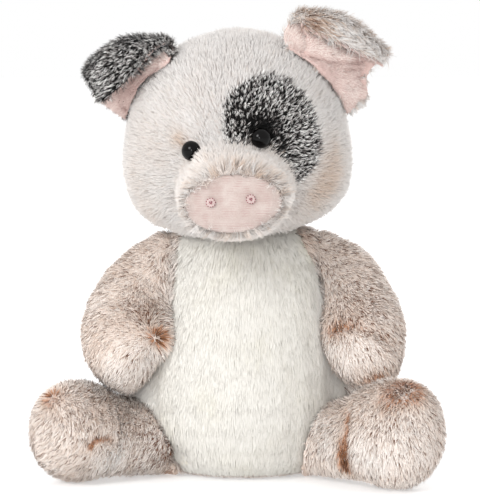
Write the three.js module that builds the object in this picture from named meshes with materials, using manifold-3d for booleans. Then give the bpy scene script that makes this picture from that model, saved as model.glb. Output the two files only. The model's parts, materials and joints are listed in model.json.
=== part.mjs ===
// A seated plush pig, cut and sewn from long-pile fabric and filled with loose stuffing.
// Millimetres, +Z up. It faces -Y, its left side is +X, and it sits on the plane of zero height.
import * as THREE from "three";
import { mergeVertices } from "three/addons/utils/BufferGeometryUtils.js";
import Module from "manifold-3d";

const wasm = await Module();
wasm.setup();

// Fabric, clearances and cutters
const pileWall = 3; // backing with the dense root of its pile
const liningWall = 1.4; // short velour, without a pile
const sewnGap = 0.3; // between two pieces that are sewn or pressed together
const earGap = 0.5; // between an ear's cover and its lining
const turnGap = 0.75; // between the head and the neck that it turns on
const fillGap = 0.4; // between a cover and the stuffing in it
const flatCut = 0.5; // how deep a stuffed form is cut flat where it rests
const overrun = 60; // how far a cutter runs past what it cuts

// Torso
const torsoTall = 161;
const torsoWide = 130;
const torsoDeep = 114;
const torsoLean = 5; // how far the neck lies behind the seat
const neckOpening = 17; // radius of the hole that the stuffing goes through
const pouchTall = 34; // the pouch of pellets in the seat
const pouchDome = 9;
const bellySide = 4.5; // how far inside the torso's outline the belly panel ends, from the front
const bellyFoot = 3.5; // height of the panel's lower seam

// Head
const headWide = 137;
const headTall = 128;
const headDeep = 124;
const neckSink = 17; // how far the neck goes into the head
const headForward = 11; // how far the head's middle lies before the neck
const headAside = 4; // and to the neck's right
const headRoll = 6; // degrees, its right side lower

// Muzzle and snout pad
const muzzleWide = 77;
const muzzleTall = 60;
const muzzleLong = 62;
const muzzleProud = 25; // how far it stands before the head
const muzzleBelow = 27; // how far its back lies below the head's middle
const muzzleDrop = 9; // how far its front lies below its back
const muzzleAside = 1.5; // and to the right of it
const padWide = 57;
const padTall = 34;
const padThick = 5;
const padProud = 3.5;
const padBelow = 0.6; // how far its middle lies below the muzzle's
const faceRoll = 5; // degrees
const nostrilRadius = 3.7;
const nostrilThick = 1.1;
const nostrilApart = 23.2;
const nostrilAbove = 1.8; // how far their middle lies above the pad's
const nostrilAside = 1.6; // and to the right of it

// Eyes
const eyeRadius = 6;
const eyeDome = 4.4;
const eyeFlange = 0.9;
const shankRadius = 1.9;
const shankLong = 10.5;
const shankPlay = 0.4;
const washerRadius = 7;
const washerThick = 1.6;
const washerBack = 1.7; // the cover's wall is curved and the washer is flat
const eyeApart = 41.5;
const eyeAside = 6; // how far right of the head's middle their own middle lies
const eyeBelow = 3.5;
const eyeRoll = 10.5; // degrees
const patchWide = 60;
const patchTall = 66;
const patchAside = 21.5; // how far left of the head's middle its own middle lies
const patchAbove = 2;

// Ears: how far each ear's middle lies inside the head's side and below its top, and before its middle
const earWide = 60;
const earTall = 62;
const earDeep = 34;
const earSwing = 16; // degrees to each side
const rightEarIn = 13;
const rightEarDown = 35;
const rightEarForward = 12;
const leftEarIn = 19.5;
const leftEarDown = 32;
const leftEarForward = 18;

// Arms
const armIn = 39; // how far inside the torso's side an arm's route starts
const armDown = 30; // and below the torso's top
const armBack = 6;
const armSpread = 46;
const armDrop = 65;
const armForward = 52;
const armWide = 50;
const armDeep = 46;
const shoulderOut = 20; // from there to the point that the arm swings about
const shoulderDown = 9;
const shoulderForward = 4;
const armSwing = 50; // degrees

// Legs
const legIn = 47; // how far inside the torso's side a leg's route starts
const legBack = 4;
const rightLegLong = 124;
const leftLegLong = 131;
const legWide = 57;
const rightLegTall = 63;
const leftLegTall = 67;
const hipOut = 23; // from there to the point that the leg swings about
const hipForward = 24;
const rightLegYaw = 59; // degrees from straight ahead
const leftLegYaw = 45;
const legSwingIn = 5; // degrees
const legSwingOut = 12;

// Tail
const tailUp = 38;
const tailIn = 7; // how far inside the torso's back it starts
const tailLong = 36;
const tailThick = 10;
const tailSwing = 20; // degrees to each side

// Places that follow from these sizes
const headOut = -headAside;
const headBack = torsoLean - headForward;
const headUp = torsoTall - neckSink + headTall / 2;
const muzzleFront = headDeep / 2 + muzzleProud - headBack;
const muzzleUp = headUp - muzzleBelow;
const padOut = headOut - muzzleAside;
const padUp = muzzleUp - muzzleDrop - padBelow;
const armOut = torsoWide / 2 - armIn;
const armUp = torsoTall - armDown;
const legOut = torsoWide / 2 - legIn;
const tailBack = torsoDeep / 2 - tailIn;

// How finely each form is faceted: sides round it and rings along it, or sides alone
const grain = {
  torso: [26, 17],
  head: [26, 16],
  muzzle: [22, 10],
  pad: [22, 7],
  arm: [18, 14],
  leg: [18, 16],
  tail: [10, 12],
  inside: [16, 12],
  neckHole: 20,
  eye: 14,
  nostril: 12,
  hole: 10,
};
const earColumns = 7;
const earBands = 12;
const swingStep = 8; // degrees at most between the copies in a swept shape

// Outlines and routes, as shares of the sizes above. A stuffed form's rows give how far along its
// route they lie, then the half width and half depth there.
const torsoShares = [
  [0, 0, 0],
  [0.002, 0.26, 0.26],
  [0.006, 0.52, 0.5],
  [0.06, 0.82, 0.8],
  [0.16, 0.955, 0.94],
  [0.28, 1, 1],
  [0.45, 0.975, 0.96],
  [0.62, 0.885, 0.86],
  [0.77, 0.775, 0.75],
  [0.88, 0.63, 0.62],
  [0.96, 0.4, 0.4],
  [1, 0, 0],
];
const headShares = [
  [0, 0, 0],
  [0.012, 0.3, 0.3],
  [0.07, 0.66, 0.62],
  [0.17, 0.9, 0.84],
  [0.32, 1, 0.97],
  [0.5, 1, 1],
  [0.66, 0.94, 0.95],
  [0.8, 0.79, 0.81],
  [0.91, 0.56, 0.58],
  [0.975, 0.3, 0.31],
  [1, 0, 0],
];
const muzzleShares = [
  [0, 0, 0],
  [0.01, 0.55, 0.55],
  [0.1, 0.9, 0.9],
  [0.34, 1, 1],
  [0.58, 0.99, 0.98],
  [0.8, 0.91, 0.89],
  [0.93, 0.76, 0.7],
  [0.985, 0.5, 0.44],
  [1, 0, 0],
];
const padShares = [
  [0, 0, 0],
  [0.02, 0.5, 0.5],
  [0.1, 0.94, 0.94],
  [0.35, 1, 1],
  [0.6, 0.97, 0.96],
  [0.86, 0.8, 0.76],
  [0.97, 0.45, 0.42],
  [1, 0, 0],
];
const armShares = [
  [0, 0, 0],
  [0.015, 0.36, 0.36],
  [0.09, 0.68, 0.7],
  [0.25, 0.88, 0.9],
  [0.45, 1, 1],
  [0.65, 1, 1],
  [0.82, 0.93, 0.94],
  [0.93, 0.72, 0.74],
  [0.985, 0.38, 0.4],
  [1, 0, 0],
];
const armRouteShares = [
  [0, 0, 0],
  [0.5, 0.04, -0.1],
  [0.86, 0.22, -0.34],
  [1, 0.5, -0.62],
  [0.96, 0.78, -0.85],
  [0.85, 1, -1],
];
const legShares = [
  [0, 0, 0],
  [0.015, 0.34, 0.3],
  [0.08, 0.6, 0.56],
  [0.3, 0.72, 0.66],
  [0.48, 0.8, 0.74],
  [0.6, 0.86, 0.82],
  [0.68, 0.97, 0.95],
  [0.8, 1, 1],
  [0.91, 0.84, 0.84],
  [0.975, 0.5, 0.5],
  [1, 0, 0],
];
const legHeightShares = [0.4, 0.35, 0.4, 0.49, 0.52]; // of the leg's height, evenly along it
const footSeamShare = 0.62;
const tailShares = [
  [0, 0, 0],
  [0.03, 0.6, 0.6],
  [0.15, 1, 1],
  [0.6, 0.9, 0.9],
  [0.9, 0.66, 0.66],
  [0.98, 0.4, 0.4],
  [1, 0, 0],
];
const tailRouteShares = [
  [0, -0.2, 0],
  [0, 0.2, 0.06],
  [0.1, 0.46, 0.26],
  [0.34, 0.42, 0.46],
  [0.44, 0.24, 0.34],
];
// Half of the belly panel's outline, upwards: share of its half width and of its height.
const bellyShares = [
  [0.6, 0],
  [0.84, 0.12],
  [0.98, 0.27],
  [0.97, 0.42],
  [0.82, 0.66],
  [0.7, 0.88],
  [0.68, 1],
];
// The eye patch, round its middle, clockwise from its lower left corner.
const patchShares = [
  [-0.48, -0.05],
  [-0.49, 0.16],
  [-0.42, 0.34],
  [-0.24, 0.49],
  [-0.02, 0.54],
  [0.2, 0.47],
  [0.38, 0.28],
  [0.49, 0],
  [0.49, -0.2],
  [0.4, -0.36],
  [0.2, -0.46],
  [0, -0.3],
  [-0.28, -0.16],
];
// Each ear's rows, from inside the head over the fold to the flap's free edge: points from the
// ear's upper end to its lower one, each a share of its width, depth and height.
const rightEarShares = [
  [[0.2, -0.32, 0.1], [-0.0, -0.02, -0.06], [-0.15, 0.32, -0.38]],
  [[0.25, -0.4, 0.22], [-0.02, -0.08, 0.04], [-0.22, 0.3, -0.29]],
  [[0.31, -0.32, 0.36], [-0.22, 0.14, 0.24], [-0.46, 0.38, -0.12]],
  [[0.27, -0.3, 0.45], [-0.29, 0.02, 0.42], [-0.56, 0.2, 0.12]],
  [[0.16, -0.46, 0.42], [-0.28, -0.3, 0.33], [-0.55, -0.06, 0.02]],
  [[0.05, -0.6, 0.34], [-0.12, -0.5, 0.1], [-0.42, -0.3, -0.16]],
];
const leftEarShares = [
  [[-0.28, -0.14, 0.2], [-0.04, -0.12, -0.04], [0.22, 0.4, -0.34]],
  [[-0.32, -0.18, 0.32], [0.01, -0.14, 0.06], [0.3, 0.42, -0.3]],
  [[-0.35, 0, 0.46], [0.18, 0.22, 0.24], [0.52, 0.5, -0.14]],
  [[-0.26, 0.1, 0.62], [0.235, 0.38, 0.61], [0.675, 0.5, 0.24]],
  [[-0.2, -0.1, 0.64], [0.275, 0.16, 0.575], [0.695, 0.36, 0.25]],
  [[-0.16, -0.16, 0.54], [0.25, -0.06, 0.36], [0.68, 0.2, 0.16]],
];

const poleShare = 1e-6; // of the way from pole to pole, where a ring has shrunk to a point
const turned = THREE.MathUtils.degToRad;
const X = new THREE.Vector3(1, 0, 0);
const Y = new THREE.Vector3(0, 1, 0);
const Z = new THREE.Vector3(0, 0, 1);

// A closed geometry as a solid that can be joined and cut.
function solidOf(geometry) {
  const bare = geometry.clone();
  bare.deleteAttribute("normal");
  bare.deleteAttribute("uv");
  const merged = mergeVertices(bare);
  return new wasm.Manifold(
    new wasm.Mesh({
      numProp: 3,
      vertProperties: merged.attributes.position.array,
      triVerts: new Uint32Array(merged.index.array),
    }),
  );
}

// A solid as a geometry again.
function geometryOf(solid) {
  const mesh = solid.getMesh();
  return new THREE.BufferGeometry()
    .setAttribute("position", new THREE.BufferAttribute(mesh.vertProperties, 3))
    .setIndex(new THREE.BufferAttribute(mesh.triVerts, 1));
}

// Rows of shares times real sizes, as points.
function scaled(shares, ...sizes) {
  return shares.map((row) => new THREE.Vector3(...row.map((share, i) => share * sizes[i])));
}

// A stuffed form: a ball whose rings are drawn out along a route to the half sizes in its rows.
// A positive inset makes the space inside its wall, and a negative one a larger copy.
function swell({ route, rows, wide, deep, across, facets, inset = 0 }) {
  const line = new THREE.CatmullRomCurve3(route);
  const long = line.getLength();
  const outline = new THREE.CatmullRomCurve3(scaled(rows, long, wide / 2, deep / 2));
  const ball = new THREE.SphereGeometry(1, ...facets);
  const place = ball.attributes.position;
  for (let i = 0; i < place.count; i++) {
    const point = new THREE.Vector3().fromBufferAttribute(place, i);
    const turn = Math.acos(THREE.MathUtils.clamp(point.y, -1, 1)) / Math.PI;
    const ring = outline.getPoint(turn);
    const slope = outline.getTangent(turn);
    const steep = Math.hypot(slope.x, slope.y) || 1;
    const atPole = Math.abs(turn - 0.5) > 0.5 - poleShare;
    const inward = atPole ? Math.sign(0.5 - turn) : slope.y / steep;
    const thinner = atPole ? 0 : (inset * slope.x) / steep;
    const along = ring.x + inset * inward;
    const share = THREE.MathUtils.clamp(along / long, 0, 1);
    const ahead = line.getTangentAt(share);
    const side = across.clone().addScaledVector(ahead, -across.dot(ahead)).normalize();
    const up = ahead.clone().cross(side);
    const out = Math.hypot(point.x, point.z) || 1;
    const centre = line.getPointAt(share).addScaledVector(ahead, along - share * long);
    centre.addScaledVector(side, (point.x / out) * Math.max(ring.y - thinner, 0) * (atPole ? 0 : 1));
    centre.addScaledVector(up, (point.z / out) * Math.max(ring.z - thinner, 0) * (atPole ? 0 : 1));
    place.setXYZ(i, centre.x, centre.y, centre.z);
  }
  return ball;
}

// A bent sheet through rows of points, from near to far on the side that its rows turn towards.
function bend(rows, near, far, columns, bands) {
  const lines = rows.map((row) => new THREE.CatmullRomCurve3(row));
  const at = (u, v) => new THREE.CatmullRomCurve3(lines.map((line) => line.getPoint(u))).getPoint(v);
  const step = 1 / (columns * bands);
  const within = (value) => THREE.MathUtils.clamp(value, 0, 1);
  const points = [];
  for (const lift of [near, far]) {
    for (let j = 0; j <= bands; j++) {
      for (let i = 0; i <= columns; i++) {
        const u = i / columns;
        const v = j / bands;
        const alongU = at(within(u + step), v).sub(at(within(u - step), v));
        const alongV = at(u, within(v + step)).sub(at(u, within(v - step)));
        points.push(at(u, v).addScaledVector(alongU.cross(alongV).normalize(), lift));
      }
    }
  }
  const width = columns + 1;
  const layer = width * (bands + 1);
  const faces = [];
  const quad = (a, b, c, d) => faces.push(a, b, c, a, c, d);
  for (let j = 0; j < bands; j++) {
    for (let i = 0; i < columns; i++) {
      const a = j * width + i;
      const [b, c, d] = [a + 1, a + width + 1, a + width];
      quad(layer + a, layer + b, layer + c, layer + d);
      faces.push(a, c, b, a, d, c);
    }
    const [start, end] = [j * width, j * width + columns];
    quad(start + width, start, start + layer, start + width + layer);
    quad(end, end + width, end + width + layer, end + layer);
  }
  for (let i = 0; i < columns; i++) {
    const top = bands * width + i;
    quad(i, i + 1, i + 1 + layer, i + layer);
    quad(top + 1, top, top + layer, top + 1 + layer);
  }
  return new THREE.BufferGeometry().setFromPoints(points).setIndex(faces);
}

// A geometry turned about an axis through a point.
function turnedAbout(geometry, point, axis, degrees) {
  const move = new THREE.Matrix4()
    .makeTranslation(point)
    .multiply(new THREE.Matrix4().makeRotationAxis(axis, turned(degrees)))
    .multiply(new THREE.Matrix4().makeTranslation(point.clone().negate()));
  return geometry.clone().applyMatrix4(move);
}

// What a carrier sweeps, seen from a piece that swings on it from one angle to another.
function swept(carrier, point, axis, from, to) {
  const steps = Math.ceil(Math.abs(to - from) / swingStep);
  let all = solidOf(carrier);
  for (let i = 0; i <= steps; i++) {
    const angle = from + ((to - from) * i) / steps;
    if (angle !== 0) all = all.add(solidOf(turnedAbout(carrier, point, axis, -angle)));
  }
  return all;
}

// A block that covers everything beyond a plane.
function beyond(point, normal) {
  const reach = torsoTall + headTall + overrun;
  const block = new THREE.BoxGeometry(reach, reach, reach).translate(0, 0, reach / 2);
  const turn = new THREE.Quaternion().setFromUnitVectors(Z, normal);
  return solidOf(block.applyQuaternion(turn).translate(point.x, point.y, point.z));
}

// An outline in the front view, drawn out towards the front from a given depth.
function frontBlock(points, from) {
  const shape = new THREE.Shape(points);
  const block = new THREE.ExtrudeGeometry(shape, { depth: torsoDeep + overrun, bevelEnabled: false });
  return solidOf(block.rotateX(Math.PI / 2).translate(0, from, 0));
}

// Where a straight line from the front meets a form, and which way the form faces there.
function seatOn(form, x, z) {
  const target = new THREE.Mesh(form, new THREE.MeshBasicMaterial());
  const from = new THREE.Vector3(x, -(muzzleFront + overrun), z);
  const [hit] = new THREE.Raycaster(from, Y).intersectObject(target);
  return { point: hit.point, normal: hit.face.normal.clone() };
}

// How far a form lies below a seat, straight in from it.
function depthBelow(form, seat) {
  const target = new THREE.Mesh(form, new THREE.MeshBasicMaterial());
  const inward = seat.normal.clone().negate();
  const [hit] = new THREE.Raycaster(seat.point, inward).intersectObject(target);
  return hit.distance;
}

// A turned profile of radius and height, set on a seat with its axis along the seat's normal.
function lathed(profile, seat, lift, sides) {
  const turnedShape = new THREE.LatheGeometry(
    profile.map(([radius, height]) => new THREE.Vector2(radius, height)),
    sides,
  );
  const turn = new THREE.Quaternion().setFromUnitVectors(Y, seat.normal);
  const place = seat.point.clone().addScaledVector(seat.normal, lift);
  return turnedShape.applyQuaternion(turn).translate(place.x, place.y, place.z);
}

// Torso
const seatPoint = new THREE.Vector3(0, 0, -flatCut);
const neckPoint = new THREE.Vector3(0, torsoLean, torsoTall - flatCut);
const bellyTall = torsoTall - bellyFoot;
const bellyWide = torsoWide - 2 * bellySide;
const torsoForm = (inset, facets, deep = torsoDeep) =>
  swell({
    route: [seatPoint, seatPoint.clone().lerp(neckPoint, 0.5), neckPoint],
    rows: torsoShares,
    wide: torsoWide,
    deep,
    across: X,
    facets,
    inset,
  });
const torsoAround = torsoForm(-sewnGap, grain.torso);
const floor = beyond(new THREE.Vector3(0, 0, 0), Z.clone().negate());

function bellyOutline(larger) {
  const half = bellyShares.map(
    ([wide, high]) =>
      new THREE.Vector2(
        wide * (bellyWide / 2 + larger),
        bellyFoot + high * bellyTall + (high - 0.5) * 2 * larger,
      ),
  );
  const rightSide = half.map((point) => new THREE.Vector2(-point.x, point.y)).reverse();
  const curve = (points) => new THREE.SplineCurve(points).getPoints(2 * points.length);
  return [...curve(half), ...curve(rightSide)];
}

function makeTorso() {
  const skin = solidOf(torsoForm(0, grain.torso))
    .subtract(solidOf(torsoForm(pileWall, grain.inside)))
    .subtract(floor);
  const neckHole = solidOf(
    new THREE.CylinderGeometry(neckOpening, neckOpening, overrun, grain.neckHole)
      .rotateX(Math.PI / 2)
      .translate(0, torsoLean, torsoTall),
  );
  const panel = skin.intersect(frontBlock(bellyOutline(-sewnGap / 2), 0));
  const cover = skin.subtract(frontBlock(bellyOutline(sewnGap / 2), 0)).subtract(neckHole);
  const filling = solidOf(torsoForm(pileWall + fillGap, grain.inside));
  const pouchTop = (larger) =>
    solidOf(
      new THREE.SphereGeometry(1, ...grain.inside)
        .scale(torsoWide / 2 + larger, torsoDeep / 2 + larger, pouchDome + larger)
        .translate(0, 0, pouchTall - pouchDome),
    ).add(beyond(new THREE.Vector3(0, 0, pouchTall - pouchDome + larger), Z.clone().negate()));
  return {
    torso_cover: cover,
    belly_panel: panel,
    seat_pellet_pouch: filling.intersect(pouchTop(0)),
    torso_stuffing: filling.subtract(pouchTop(fillGap)),
  };
}

// Head
const headCentre = new THREE.Vector3(headOut, headBack, headUp);
const headAxis = Z.clone().applyAxisAngle(Y, -turned(headRoll));
const headSide = X.clone().applyAxisAngle(Y, -turned(headRoll));
const headForm = (inset, facets) =>
  swell({
    route: [-0.5, 0, 0.5].map((share) => headCentre.clone().addScaledVector(headAxis, share * headTall)),
    rows: headShares,
    wide: headWide,
    deep: headDeep,
    across: headSide,
    facets,
    inset,
  });
// As deep as it is wide, the torso clears the head at every angle that the head turns to.
const neckSweep = solidOf(torsoForm(-turnGap, grain.torso, torsoWide));

const faceSide = X.clone().applyAxisAngle(Y, -turned(faceRoll));
const muzzleForm = (inset, facets) => {
  const front = new THREE.Vector3(padOut, -muzzleFront, muzzleUp - muzzleDrop);
  const back = new THREE.Vector3(headOut, muzzleLong - muzzleFront, muzzleUp);
  return swell({
    route: [back, back.clone().lerp(front, 0.5), front],
    rows: muzzleShares,
    wide: muzzleWide,
    deep: muzzleTall,
    across: faceSide,
    facets,
    inset,
  });
};
const padForm = (inset) => {
  const front = new THREE.Vector3(padOut, -(muzzleFront + padProud), padUp);
  const back = front.clone().addScaledVector(Y, padThick);
  return swell({
    route: [back, back.clone().lerp(front, 0.5), front],
    rows: padShares,
    wide: padWide,
    deep: padTall,
    across: faceSide,
    facets: grain.pad,
    inset,
  });
};

function patchOutline(larger) {
  const points = patchShares.map(
    ([wide, high]) =>
      new THREE.Vector2(
        headOut + patchAside + wide * (patchWide + 2 * larger),
        headUp + patchAbove + high * (patchTall + 2 * larger),
      ),
  );
  return new THREE.SplineCurve([...points, points[0]]).getPoints(2 * points.length).slice(0, -1);
}

const headShape = headForm(0, grain.head);
const eyeSeats = [-1, 1].map((side) =>
  seatOn(
    headShape,
    headOut - eyeAside + side * (eyeApart / 2) * Math.cos(turned(eyeRoll)),
    headUp - eyeBelow + side * (eyeApart / 2) * Math.sin(turned(eyeRoll)),
  ),
);

// The space round an eye's shank and washer, or in front of the head round its dome.
const rod = (radius, from, to, seat, sides) =>
  solidOf(
    lathed(
      [
        [0, from],
        [radius, from],
        [radius, to],
        [0, to],
      ],
      seat,
      0,
      sides,
    ),
  );

function makeEye(seat) {
  const dome = [1, 2, 3].map((i) => {
    const angle = (i / 4) * (Math.PI / 2);
    return [eyeRadius * Math.cos(angle), eyeFlange + eyeDome * Math.sin(angle)];
  });
  const profile = [
    [0, -shankLong],
    [shankRadius, -shankLong],
    [shankRadius, 0],
    [eyeRadius, 0],
    [eyeRadius, eyeFlange],
    ...dome,
    [0, eyeFlange + eyeDome],
  ];
  return solidOf(lathed(profile, seat, sewnGap, grain.eye));
}

function makeWasher(seat) {
  const wall = depthBelow(headForm(pileWall, grain.inside), seat);
  const back = -(wall + washerBack + washerThick);
  const inner = shankRadius + shankPlay;
  const profile = [
    [inner, back],
    [washerRadius, back],
    [washerRadius, back + washerThick],
    [inner, back + washerThick],
    [inner, back],
  ];
  return solidOf(lathed(profile, seat, 0, grain.eye));
}

function makeNostril(side) {
  const seat = seatOn(
    padForm(0),
    padOut - nostrilAside + side * (nostrilApart / 2) * Math.cos(turned(faceRoll)),
    padUp + nostrilAbove + side * (nostrilApart / 2) * Math.sin(turned(faceRoll)),
  );
  const profileShares = [
    [0, 0],
    [1, 0],
    [1, 0.4],
    [0.8, 1],
    [0.58, 0.45],
    [0.3, 0.45],
    [0, 0.9],
  ];
  const profile = profileShares.map(([out, high]) => [out * nostrilRadius, high * nostrilThick]);
  return solidOf(lathed(profile, seat, sewnGap, grain.nostril));
}

function makeHead() {
  const around = solidOf(headForm(-sewnGap, grain.head));
  let skin = solidOf(headShape).subtract(solidOf(headForm(pileWall, grain.inside)));
  let filling = solidOf(headForm(pileWall + fillGap, grain.inside));
  let muzzle = solidOf(muzzleForm(0, grain.muzzle)).subtract(
    solidOf(muzzleForm(pileWall, grain.inside)),
  );
  skin = skin.subtract(neckSweep);
  filling = filling.subtract(neckSweep);
  for (const seat of eyeSeats) {
    skin = skin.subtract(rod(shankRadius + shankPlay, -shankLong, eyeFlange, seat, grain.hole));
    filling = filling.subtract(
      rod(washerRadius + fillGap, -(shankLong + fillGap), 0, seat, grain.hole),
    );
    muzzle = muzzle.subtract(
      rod(eyeRadius + sewnGap, -eyeDome, eyeFlange + eyeDome + fillGap, seat, grain.eye),
    );
  }
  muzzle = muzzle.subtract(around).subtract(solidOf(padForm(-sewnGap)));
  const muzzleShape = solidOf(muzzleForm(-sewnGap, grain.muzzle));
  const patchBlock = (larger) => frontBlock(patchOutline(larger), headBack).subtract(muzzleShape);
  const wad = solidOf(muzzleForm(pileWall + fillGap, grain.inside))
    .subtract(around)
    .subtract(solidOf(padForm(-fillGap)));
  return {
    head_cover: skin.subtract(patchBlock(sewnGap / 2)),
    eye_patch: skin.intersect(patchBlock(-sewnGap / 2)),
    head_stuffing: filling,
    muzzle_cover: muzzle,
    muzzle_stuffing: wad,
    snout_pad: solidOf(padForm(0)),
    right_nostril: makeNostril(-1),
    left_nostril: makeNostril(1),
    right_eye: makeEye(eyeSeats[0]),
    left_eye: makeEye(eyeSeats[1]),
    right_eye_washer: makeWasher(eyeSeats[0]),
    left_eye_washer: makeWasher(eyeSeats[1]),
  };
}

// Ears
function makeEar(name, side, shares, inside, down, forward) {
  const middle = new THREE.Vector3(
    headOut + side * (headWide / 2 - inside),
    headBack - forward,
    headUp + headTall / 2 - down,
  );
  const rows = shares.map((row) =>
    scaled(row, earWide, earDeep, earTall).map((point) => point.add(middle)),
  );
  const upper = rows[1][0];
  const lower = rows[1][2];
  const axis = lower.clone().sub(upper).normalize();
  const head = swept(headForm(-sewnGap, grain.head), upper, axis, -earSwing, earSwing);
  const layer = (near, far) => {
    const low = side < 0 ? near : -far;
    const high = side < 0 ? far : -near;
    return solidOf(bend(rows, low, high, earColumns, earBands)).subtract(head);
  };
  return {
    [`${name}_ear_cover`]: layer(earGap / 2, earGap / 2 + pileWall),
    [`${name}_ear_lining`]: layer(-earGap / 2 - liningWall, -earGap / 2),
  };
}

// Arms
function makeArm(name, side) {
  const route = scaled(armRouteShares, side * armSpread, -armForward, armDrop).map((point) =>
    point.add(new THREE.Vector3(side * armOut, armBack, armUp)),
  );
  const form = (inset, facets) =>
    swell({ route, rows: armShares, wide: armWide, deep: armDeep, across: X, facets, inset });
  const shoulder = new THREE.Vector3(
    side * (armOut + shoulderOut),
    armBack - shoulderForward,
    armUp - shoulderDown,
  );
  const torso = swept(torsoAround, shoulder, X, 0, -armSwing);
  return {
    [`${name}_arm_cover`]: solidOf(form(0, grain.arm))
      .subtract(solidOf(form(pileWall, grain.inside)))
      .subtract(torso),
    [`${name}_arm_stuffing`]: solidOf(form(pileWall + fillGap, grain.inside)).subtract(torso),
  };
}

// Legs
function makeLeg(name, side, yaw, long, tall) {
  const ahead = new THREE.Vector3(side * Math.sin(turned(yaw)), -Math.cos(turned(yaw)), 0);
  const root = new THREE.Vector3(side * legOut, legBack, 0);
  const last = legHeightShares.length - 1;
  const route = legHeightShares.map((share, i) =>
    root
      .clone()
      .addScaledVector(ahead, (long * i) / last)
      .addScaledVector(Z, share * tall - flatCut),
  );
  const across = ahead.clone().cross(Z);
  const form = (inset, facets) =>
    swell({ route, rows: legShares, wide: legWide, deep: tall, across, facets, inset });
  const hip = new THREE.Vector3(side * (legOut + hipOut), legBack - hipForward, 0);
  const torso = swept(torsoAround, hip, Z, -side * legSwingIn, side * legSwingOut);
  const skin = solidOf(form(0, grain.leg))
    .subtract(solidOf(form(pileWall, grain.inside)))
    .subtract(torso)
    .subtract(floor);
  const seam = new THREE.CatmullRomCurve3(route).getPointAt(footSeamShare);
  const foot = (gap) => beyond(seam.clone().addScaledVector(ahead, gap), ahead);
  return {
    [`${name}_leg_cover`]: skin.subtract(foot(-sewnGap / 2)),
    [`${name}_foot_cover`]: skin.intersect(foot(sewnGap / 2)),
    [`${name}_leg_stuffing`]: solidOf(form(pileWall + fillGap, grain.inside)).subtract(torso),
  };
}

// Tail
function makeTail() {
  const root = new THREE.Vector3(0, tailBack, tailUp);
  const route = scaled(tailRouteShares, tailLong, tailLong, tailLong).map((point) => point.add(root));
  const form = swell({
    route,
    rows: tailShares,
    wide: tailThick,
    deep: tailThick,
    across: X,
    facets: grain.tail,
  });
  const torso = swept(torsoAround, root, Z, -tailSwing, tailSwing);
  return { tail: solidOf(form).subtract(torso) };
}

// Colour, roughness and metalness of each finish
const finishes = {
  tan_pile: [0xcdb9af, 0.95, 0],
  ivory_pile: [0xebeae4, 0.95, 0],
  cream_pile: [0xdcd5d0, 0.95, 0],
  charcoal_pile: [0x4a4346, 0.95, 0],
  pink_velour: [0xe6cdc8, 0.9, 0],
  pink_thread: [0xc8788a, 0.8, 0],
  black_plastic: [0x0c0b0c, 0.12, 0],
  white_plastic: [0xe8e8e4, 0.5, 0],
  white_fibre: [0xf2f2f0, 1, 0],
  pellet_cloth: [0xd8d4cc, 0.9, 0],
};

const finishOf = {
  torso_cover: "tan_pile",
  belly_panel: "ivory_pile",
  torso_stuffing: "white_fibre",
  seat_pellet_pouch: "pellet_cloth",
  head_cover: "cream_pile",
  eye_patch: "charcoal_pile",
  head_stuffing: "white_fibre",
  muzzle_cover: "cream_pile",
  muzzle_stuffing: "white_fibre",
  snout_pad: "pink_velour",
  right_nostril: "pink_thread",
  left_nostril: "pink_thread",
  right_eye: "black_plastic",
  left_eye: "black_plastic",
  right_eye_washer: "white_plastic",
  left_eye_washer: "white_plastic",
  right_ear_cover: "charcoal_pile",
  right_ear_lining: "pink_velour",
  left_ear_cover: "cream_pile",
  left_ear_lining: "pink_velour",
  right_arm_cover: "tan_pile",
  right_arm_stuffing: "white_fibre",
  left_arm_cover: "tan_pile",
  left_arm_stuffing: "white_fibre",
  right_leg_cover: "tan_pile",
  right_foot_cover: "tan_pile",
  right_leg_stuffing: "white_fibre",
  left_leg_cover: "tan_pile",
  left_foot_cover: "tan_pile",
  left_leg_stuffing: "white_fibre",
  tail: "tan_pile",
};

const solids = {
  ...makeTorso(),
  ...makeHead(),
  ...makeEar("right", -1, rightEarShares, rightEarIn, rightEarDown, rightEarForward),
  ...makeEar("left", 1, leftEarShares, leftEarIn, leftEarDown, leftEarForward),
  ...makeArm("right", -1),
  ...makeArm("left", 1),
  ...makeLeg("right", -1, rightLegYaw, rightLegLong, rightLegTall),
  ...makeLeg("left", 1, leftLegYaw, leftLegLong, leftLegTall),
  ...makeTail(),
};

const pig = new THREE.Group();
for (const [name, solid] of Object.entries(solids)) {
  const [color, roughness, metalness] = finishes[finishOf[name]];
  const material = new THREE.MeshStandardMaterial({ color, roughness, metalness });
  const mesh = new THREE.Mesh(geometryOf(solid), material);
  mesh.name = name;
  pig.add(mesh);
}

export default pig;
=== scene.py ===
import heapq
import json
import math

import bmesh
import bpy
import numpy as np
from mathutils import Matrix, Vector
from mathutils.bvhtree import BVHTree
from mathutils.kdtree import KDTree
from mathutils.noise import noise as lump_noise


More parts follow.
